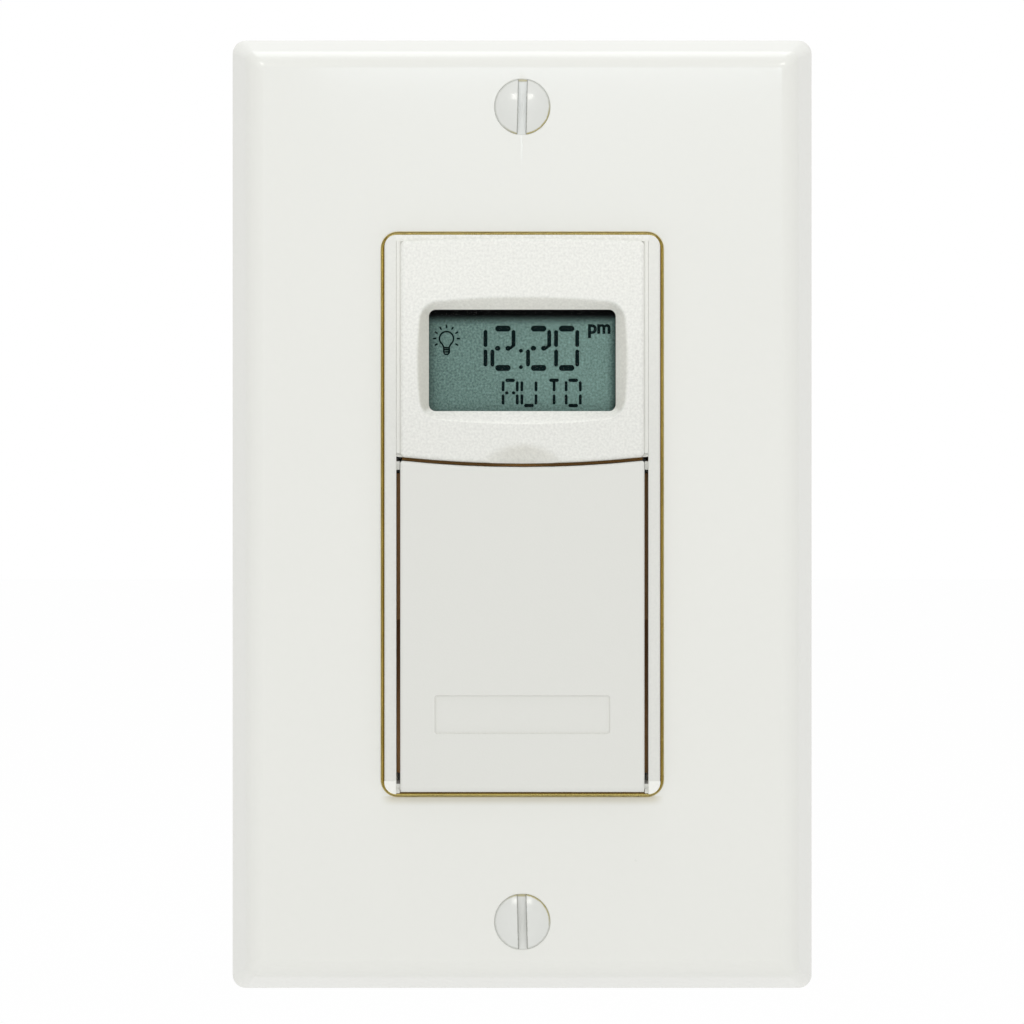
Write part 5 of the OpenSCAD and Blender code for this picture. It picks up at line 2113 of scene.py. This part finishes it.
@dataclass
class Display:
    """The clear window, the LCD's face and what it shows."""

    stroke: float = 0.03
    lens_gap: float = 0.08
    lens_edge: float = 0.12
    lens_steps: int = 3
    end_cut: float = 0.32
    clock_up: float = 19.72
    clock_size: DigitSize = DigitSize(
        spacing=2.51, flat_y=2.335, flat_l=1.82, flat_w=0.7, upright_y=1.16, upright_l=2.0, upright_w=0.46,
        dot_x=0.62, dot_l=0.64, dot_w=0.576)
    clock_digits: tuple[tuple[str, float], ...] = (("bc", -6.88), ("abmed", -3.55), ("abmed", 0.69),
                                                   ("abcdef", 4.02))
    hook_at: Pair = (2.28, 0.14)
    hook_size: Pair = (0.62, 0.34)
    hook_angle: float = 42.0
    colon_x: float = -0.16
    colon_up: Pair = (19.42, 17.48)
    colon: float = 0.46
    word_up: float = 14.42
    word_size: DigitSize = DigitSize(
        spacing=1.68, flat_y=1.5, flat_l=1.14, flat_w=0.4, upright_y=0.78, upright_l=1.2, upright_w=0.33,
        dot_x=0.4, dot_l=0.42, dot_w=0.378)
    word_letters: tuple[tuple[str, float], ...] = (("abcefm", -2.28), ("bcdef", -0.05), ("av", 2.94),
                                                   ("abcdef", 5.21))
    lamp_sign: LampSign = LampSign()
    half_day: str = "pm"
    half_day_at: Pair = (9.15, 22.17)
    half_day_h: float = 1.5
    half_day_bold: float = 0.08

    def __post_init__(self) -> None:
        """Takes the place of the LCD from the frame."""
        low, high = lying_box("lcd_polariser")
        self.level = high.z
        self.middle_y = (low.y + high.y) / 2

    def lens(self) -> None:
        """Models the clear window."""
        low, high = lying_box("display_window")
        lens = Workpiece.box("clear_window", (low.x, low.y, low.z + self.lens_gap), high)
        lens.soften(self.lens_edge, self.lens_steps).smooth(angle=30).stand()
        lens.settle(Body.SWITCH, ClearSheet("window_clear"), "display_window")

    def bar(self, at: Sequence[float], length: float, width: float, angle: float = 0.0) -> Workpiece:
        """Makes one segment of the LCD.

        Args:
            at: Its middle.
            length: Its length across.
            width: Its width.
            angle: How far it is turned, in degrees.

        Returns:
            A thin bar with cut corners.
        """
        cut = self.end_cut * width
        half_l, half_w = length / 2, width / 2
        upper = [(half_l, half_w - cut), (half_l - cut, half_w), (cut - half_l, half_w),
                 (-half_l, half_w - cut)]
        corners = upper + [(-x, -y) for x, y in upper]
        rings = [[Vector((x, y, level)) for x, y in corners] for level in (0, self.stroke)]
        return Workpiece.loft("bar", rings).turn(angle, Axis.Z).shift((at[0], at[1], self.level))

    def digit(self, segments: str, left: float, middle: float, size: DigitSize) -> list[Workpiece]:
        """Makes one digit or letter of bars.

        Args:
            segments: Letters a to f for the bars round the edge from the top, m for two dots in the
                middle and v for an upright in the middle.
            left: Place of its left bars.
            middle: Height of its middle.
            size: Sizes of its bars.

        Returns:
            The bars.
        """
        right, centre = left + size.spacing, left + size.spacing / 2
        upper, lower = middle + size.upright_y, middle - size.upright_y
        made = []
        for segment in segments:
            if segment in "ad":
                rise = size.flat_y if segment == "a" else -size.flat_y
                made.append(self.bar((centre, middle + rise), size.flat_l, size.flat_w))
            elif segment in "bcef":
                x = right if segment in "bc" else left
                y = upper if segment in "bf" else lower
                made.append(self.bar((x, y), size.upright_l, size.upright_w, 90))
            elif segment == "m":
                made += [self.bar((centre + side * size.dot_x, middle), size.dot_l, size.dot_w)
                         for side in SIDES]
            elif segment == "v":
                made += [self.bar((centre, y), size.upright_l, size.upright_w, 90)
                         for y in (upper, lower)]
        return made

    def clock(self) -> list[Workpiece]:
        """Makes the large digits of the time, with a hook in each two, and the colon.

        Returns:
            The bars.
        """
        bars = []
        over, rise = self.hook_at
        for segments, left in self.clock_digits:
            bars += self.digit(segments, left, self.clock_up, self.clock_size)
            if "m" in segments:
                bars.append(self.bar((left + over, self.clock_up + rise), *self.hook_size, self.hook_angle))
        return bars + [self.bar((self.colon_x, up), self.colon, self.colon) for up in self.colon_up]

    def word(self) -> list[Workpiece]:
        """Makes the small letters under the time."""
        return [bar for segments, left in self.word_letters
                for bar in self.digit(segments, left, self.word_up, self.word_size)]

    def bulb(self) -> list[Workpiece]:
        """Draws the small lamp sign with its rays.

        Returns:
            The parts of the sign.
        """
        sign = self.lamp_sign
        x, y = sign.at
        low, high = self.level, self.level + self.stroke
        outer, inner = sign.outlines()
        rings = [[Vector((x + across, y + up, level)) for across, up in line]
                 for line, level in ((outer, low), (outer, high), (inner, high), (inner, low))]
        parts = [Workpiece.loft("lamp_sign", rings, closed=True)]
        parts += [self.bar((x, y + up), 2 * sign.neck, sign.line) for up in sign.turns_up]
        reach = sign.radius + sign.ray_gap
        for angle in sign.rays:
            turn = math.radians(angle)
            at = (x + reach * math.cos(turn), y + reach * math.sin(turn))
            parts.append(self.bar(at, sign.ray_l, sign.line, angle))
        return parts

    def build(self) -> None:
        """Models the window and the readout, and gives the LCD its finish."""
        self.lens()
        dress("lcd_polariser", DisplayFace("lcd_film", self.middle_y))
        shapes = {"lcd_time": self.clock(), "lcd_word": self.word(), "lcd_lamp": self.bulb()}
        for name, (first, *rest) in shapes.items():
            piece = first.gather(rest)
            piece.obj.name = name
            piece.stand().settle(Body.SWITCH, LCD_INK)
        at = (*self.half_day_at, self.level + self.stroke / 2)
        half_day = Workpiece.lettering("lcd_half_day", self.half_day, self.half_day_h, at, self.stroke,
                                       self.half_day_bold)
        half_day.stand().settle(Body.SWITCH, LCD_INK)


@dataclass
class ButtonDeck:
    """The buttons behind the door and their legends."""

    reach: float = 0.6
    flange: float = 0.8
    stem_l: float = 0.15
    stem_d: float = 3.0
    corner_r: float = 1.6
    edge: float = 0.4
    rim: float = 0.35
    dish: float = 0.12
    ink: float = 0.03
    big_legend: float = 2.0
    small_legend: float = 1.15
    legend_y: float = -5.05

    def button(self, node: str, body: Body) -> Vector:
        """Models one button with its stem, its flange and a dished cap.

        Args:
            node: The button's CAD node.
            body: The body that it rides on.

        Returns:
            The middle of the cap's dish.
        """
        low, high = lying_box(node)
        middle = (low + high) / 2
        half = Vector((high.x - low.x, high.y - low.y)) / 2 - Vector((self.reach, self.reach))
        flat = half.x - half.y > self.edge

        def ring(out: float, level: float) -> Ring:
            """Gives the cap's outline moved outwards."""
            if flat:
                return corner_ring(half.x + out, half.y + out, self.corner_r + out, level)
            return round_ring(half.x + out, level, RING_POINTS)

        edge = min(self.edge, half.y / 3)
        base = low.z + self.stem_l
        stem = min(self.stem_d / 2, half.y)
        rings = [round_ring(stem, level, RING_POINTS) for level in (low.z, base)]
        rings += [ring(self.reach, base), ring(self.reach, base + self.flange), ring(0, base + self.flange)]
        rings += [ring(-inset, high.z - drop) for inset, drop in quarter(edge, ROUND_STEPS)]
        if flat:
            rings += [ring(-edge - self.rim, high.z), ring(-edge - 2 * self.rim, high.z - self.dish)]
        cap = Workpiece.loft(f"{node}_cap", rings).shift((middle.x, middle.y, 0))
        cap.smooth().stand().settle(body, KEY_PLASTIC, node)
        return Vector((middle.x, middle.y, high.z - self.dish if flat else high.z))

    def legend(self, name: str, words: str, at: Vector, height: float, body: Body) -> None:
        """Prints a legend.

        Args:
            name: Name of the piece.
            words: What it says.
            at: Its middle, on the surface.
            height: Height of a capital.
            body: The body that carries it.
        """
        letters = Workpiece.lettering(name, words, height, at + Vector((0, 0, self.ink / 2)), self.ink)
        letters.stand().settle(body, PRINT_INK)

    def build(self) -> None:
        """Models the buttons and their legends."""
        self.legend("on_off_legend", "ON/OFF", self.button("on_off_button", Body.ON_OFF), self.big_legend,
                    Body.ON_OFF)
        deck = lying_box("battery_tray")[1].z
        marks = ((Body.MODE, "mode", "MODE"), (Body.PLUS, "plus", "+"), (Body.MINUS, "minus", "−"),
                 (Body.RESET, "reset", "RESET"))
        for body, stem, words in marks:
            cap = self.button(f"{stem}_button", body)
            self.legend(f"{stem}_legend", words, Vector((cap.x, self.legend_y, deck)), self.small_legend,
                        Body.SWITCH)


@dataclass
class RearParts:
    """The strap, the housing, the battery tray and their fasteners, with broken edges."""

    parts: tuple[tuple[str, float, Finish], ...] = (
        ("mounting_strap", 0.15, ZINC_STRAP),
        ("rear_housing", 0.25, HOUSING_PLASTIC),
        ("battery_tray", 0.12, FACE_PLASTIC),
        ("housing_screws", 0.1, STEEL),
        ("ground_terminal", 0.08, BRASS),
        ("ground_rivet", 0.15, STEEL))

    def build(self) -> None:
        """Rounds the edges of each part and gives it its finish."""
        for node, width, finish in self.parts:
            piece = Workpiece.copy_of(f"{node}_dressed", node)
            piece.soften(width * MM, angle=40).smooth()
            piece.settle(Body.SWITCH, finish, node)


@dataclass
class InnerParts:
    """The boards and parts inside, whose solids stay and get their finishes."""

    cell_band: float = 0.25
    can_band: float = 2.0

    def finishes(self) -> list[tuple[Finish, tuple[str, ...]]]:
        """Lists the finishes with their nodes.

        Returns:
            Pairs of a finish and its nodes.
        """
        low, high = (corner.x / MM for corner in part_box("battery_cell"))
        band = high - self.cell_band * (high - low)
        cell = Sleeve("cell_wrap", (28, 52, 104), (206, 208, 210), band, high)
        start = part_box("electrolytic_capacitor")[0].x / MM
        can = Sleeve("can_sleeve", (24, 26, 34), (176, 180, 186), start, start + self.can_band)
        plungers = (f"{stem}_plunger" for stem in ("on_off", "mode", "plus", "minus", "reset"))
        black = ("tact_switches", "microcontroller", "header_strips", "rectifier_diodes", *plungers)
        return [
            (MouldedPlastic("lcd_glass", (110, 134, 128), roughness=0.15, grain=0.2, depth=0.001),
             ("lcd_cell",)),
            (PlatedMetal("lcd_film", (150, 158, 154), (140, 148, 146), roughness=0.5), ("lcd_reflector",)),
            (FACE_PLASTIC, ("lcd_holder",)),
            (LayeredRubber("strip_rubber", (186, 150, 138), (46, 42, 42)), ("contact_strips",)),
            (BOARD, ("control_board", "power_board")),
            (STEEL, ("control_board_screws", "power_board_screws")),
            (BLACK_MOULDING, black),
            (NICKEL, ("clock_crystal", "battery_contacts")),
            (BRASS, ("header_pins", "lead_posts")),
            (cell, ("battery_cell",)),
            (MouldedPlastic("relay_case", (30, 34, 40), grain=0.25, speckle=0.15), ("relay",)),
            (MouldedPlastic("film_case", (206, 172, 52), grain=0.3, speckle=0.08), ("film_capacitor",)),
            (can, ("electrolytic_capacitor",)),
            (MouldedPlastic("varistor_coat", (36, 72, 146), roughness=0.3, grain=0.8), ("varistor",)),
            (MouldedPlastic("resistor_coat", (116, 150, 122), grain=0.4), ("fusible_resistor",)),
        ]

    def build(self) -> None:
        """Gives each node its finish."""
        for finish, nodes in self.finishes():
            for node in nodes:
                dress(node, finish)


def dress(node: str, finish: Finish) -> None:
    """Gives a CAD node that stays its finish."""
    finish.cover(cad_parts[node])
    LOG.info("%s: kept, finished as %s", node, finish.slot)


@dataclass(frozen=True)
class SoftLamp:
    """A soft lamp that faces the object, in metres and watts."""

    name: str
    at: Triple
    size: Pair
    power: float
    tint: Triple

    def hang(self) -> None:
        """Adds the lamp and turns it to the object."""
        at = Vector(self.at)
        deselect()
        bpy.ops.object.light_add(type="AREA", location=at)
        lamp = bpy.context.object
        lamp.name = self.name
        lamp.data.shape = "RECTANGLE"
        lamp.data.size, lamp.data.size_y = self.size
        lamp.data.energy = self.power
        lamp.data.color = self.tint
        lamp.rotation_euler = (-at).to_track_quat("-Z", "Y").to_euler()


@dataclass
class Studio:
    """The floor, the light and the camera, in metres."""

    camera_at: Triple = (-0.00122, -0.3056, 0.00027)
    camera_near: float = 0.01
    lens: float = 88.9
    sensor: float = 36.0
    floor_drop: float = 0.03
    floor_size: float = 6.0
    paper: Tone = (246, 246, 246)
    paper_grain: float = 4.0
    paper_mottle: float = 0.02
    paper_rough: float = 0.9
    paper_white: float = 0.97
    paper_glow: float = 0.3
    glow_power: float = 1.1
    sky: float = 0.884
    side_fall: float = 0.54
    lamps: tuple[SoftLamp, ...] = (
        SoftLamp("key_lamp", (0.0, 0.07317, 0.696165), (0.5, 0.5), 1.12, (0.93, 0.97, 1.0)),
        SoftLamp("strip_lamp", (0.04, -0.6, 0.18), (0.22, 0.045), 0.17, (0.78, 0.89, 1.0)),
        SoftLamp("right_lamp", (0.17, -0.46, 0.34), (0.11, 0.11), 0.2, (1.0, 0.98, 0.93)),
        SoftLamp("left_lamp", (-0.17, -0.46, 0.34), (0.11, 0.11), 0.2, (1.0, 0.98, 0.93)))

    def floor(self) -> None:
        """Lays a pale floor that looks white to the camera and keeps the object's shadow."""
        low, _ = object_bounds()
        deselect()
        bpy.ops.mesh.primitive_plane_add(size=self.floor_size, location=(0, 0, low.z - self.floor_drop))
        floor = bpy.context.object
        floor.name = "floor"
        shader = Shader(bpy.data.materials.new("floor_paper"))
        grain = 1 + self.paper_mottle * shader.noise(self.paper_grain)
        shader.finish({"Base Color": shader.tint(self.paper, grain), "Roughness": self.paper_rough})
        seen = self.seen(shader)
        white = shader.node("ShaderNodeEmission", None, {
            "Color": (1, 1, 1, 1), "Strength": self.glow_power + (1 - self.glow_power) * seen})
        mix = shader.node("ShaderNodeMixShader", None, {
            0: self.paper_glow + (self.paper_white - self.paper_glow) * seen,
            1: Sock(shader, shader.surface.outputs[0]), 2: white})
        output = next(n for n in shader.tree.nodes if n.type == "OUTPUT_MATERIAL")
        shader.feed(output.inputs["Surface"], mix)
        floor.data.materials.append(shader.owner)
        floor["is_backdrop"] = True

    def seen(self, shader: Shader) -> Sock:
        """Gives 1 for what the camera sees, straight, mirrored or through something clear."""
        camera, gloss, through = (shader.node("ShaderNodeLightPath", output=f"Is {kind} Ray")
                                  for kind in ("Camera", "Glossy", "Transmission"))
        return camera.larger(gloss).larger(through)

    def sky_light(self) -> None:
        """Sets a light all round, weaker from the sides, which looks white to the camera."""
        world = bpy.data.worlds.new("studio")
        bpy.context.scene.world = world
        shader = Shader(world)
        way = shader.node("ShaderNodeTexCoord", output="Generated")
        side = shader.node("ShaderNodeSeparateXYZ", None, {0: way}, Axis.X.value)
        seen = self.seen(shader)
        light = self.sky * (1 - self.side_fall * side * side)
        shader.finish({"Color": (1, 1, 1, 1), "Strength": seen + light * (1 - seen)})

    def camera(self) -> None:
        """Sets the camera where the photograph was taken."""
        bpy.ops.object.camera_add(location=self.camera_at, rotation=(math.pi / 2, 0, 0))
        camera = bpy.context.object
        camera.data.lens = self.lens
        camera.data.sensor_width = self.sensor
        camera.data.clip_start = self.camera_near
        bpy.context.scene.camera = camera

    def build(self) -> None:
        """Sets up everything around the object."""
        self.floor()
        self.sky_light()
        for lamp in self.lamps:
            lamp.hang()
        self.camera()
        bpy.context.scene.view_settings.view_transform = "Standard"


def main() -> None:
    """Builds the pieces in order."""
    logging.basicConfig(level=logging.INFO, format="%(message)s")
    for part in (WallPlate(), PlateScrews(), FaceFrame(), TrimRing(), DoorGapShades(), Door(), Display(),
                 ButtonDeck(), RearParts(), InnerParts()):
        part.build()
    Studio().build()


if __name__ == "__main__":
    main()
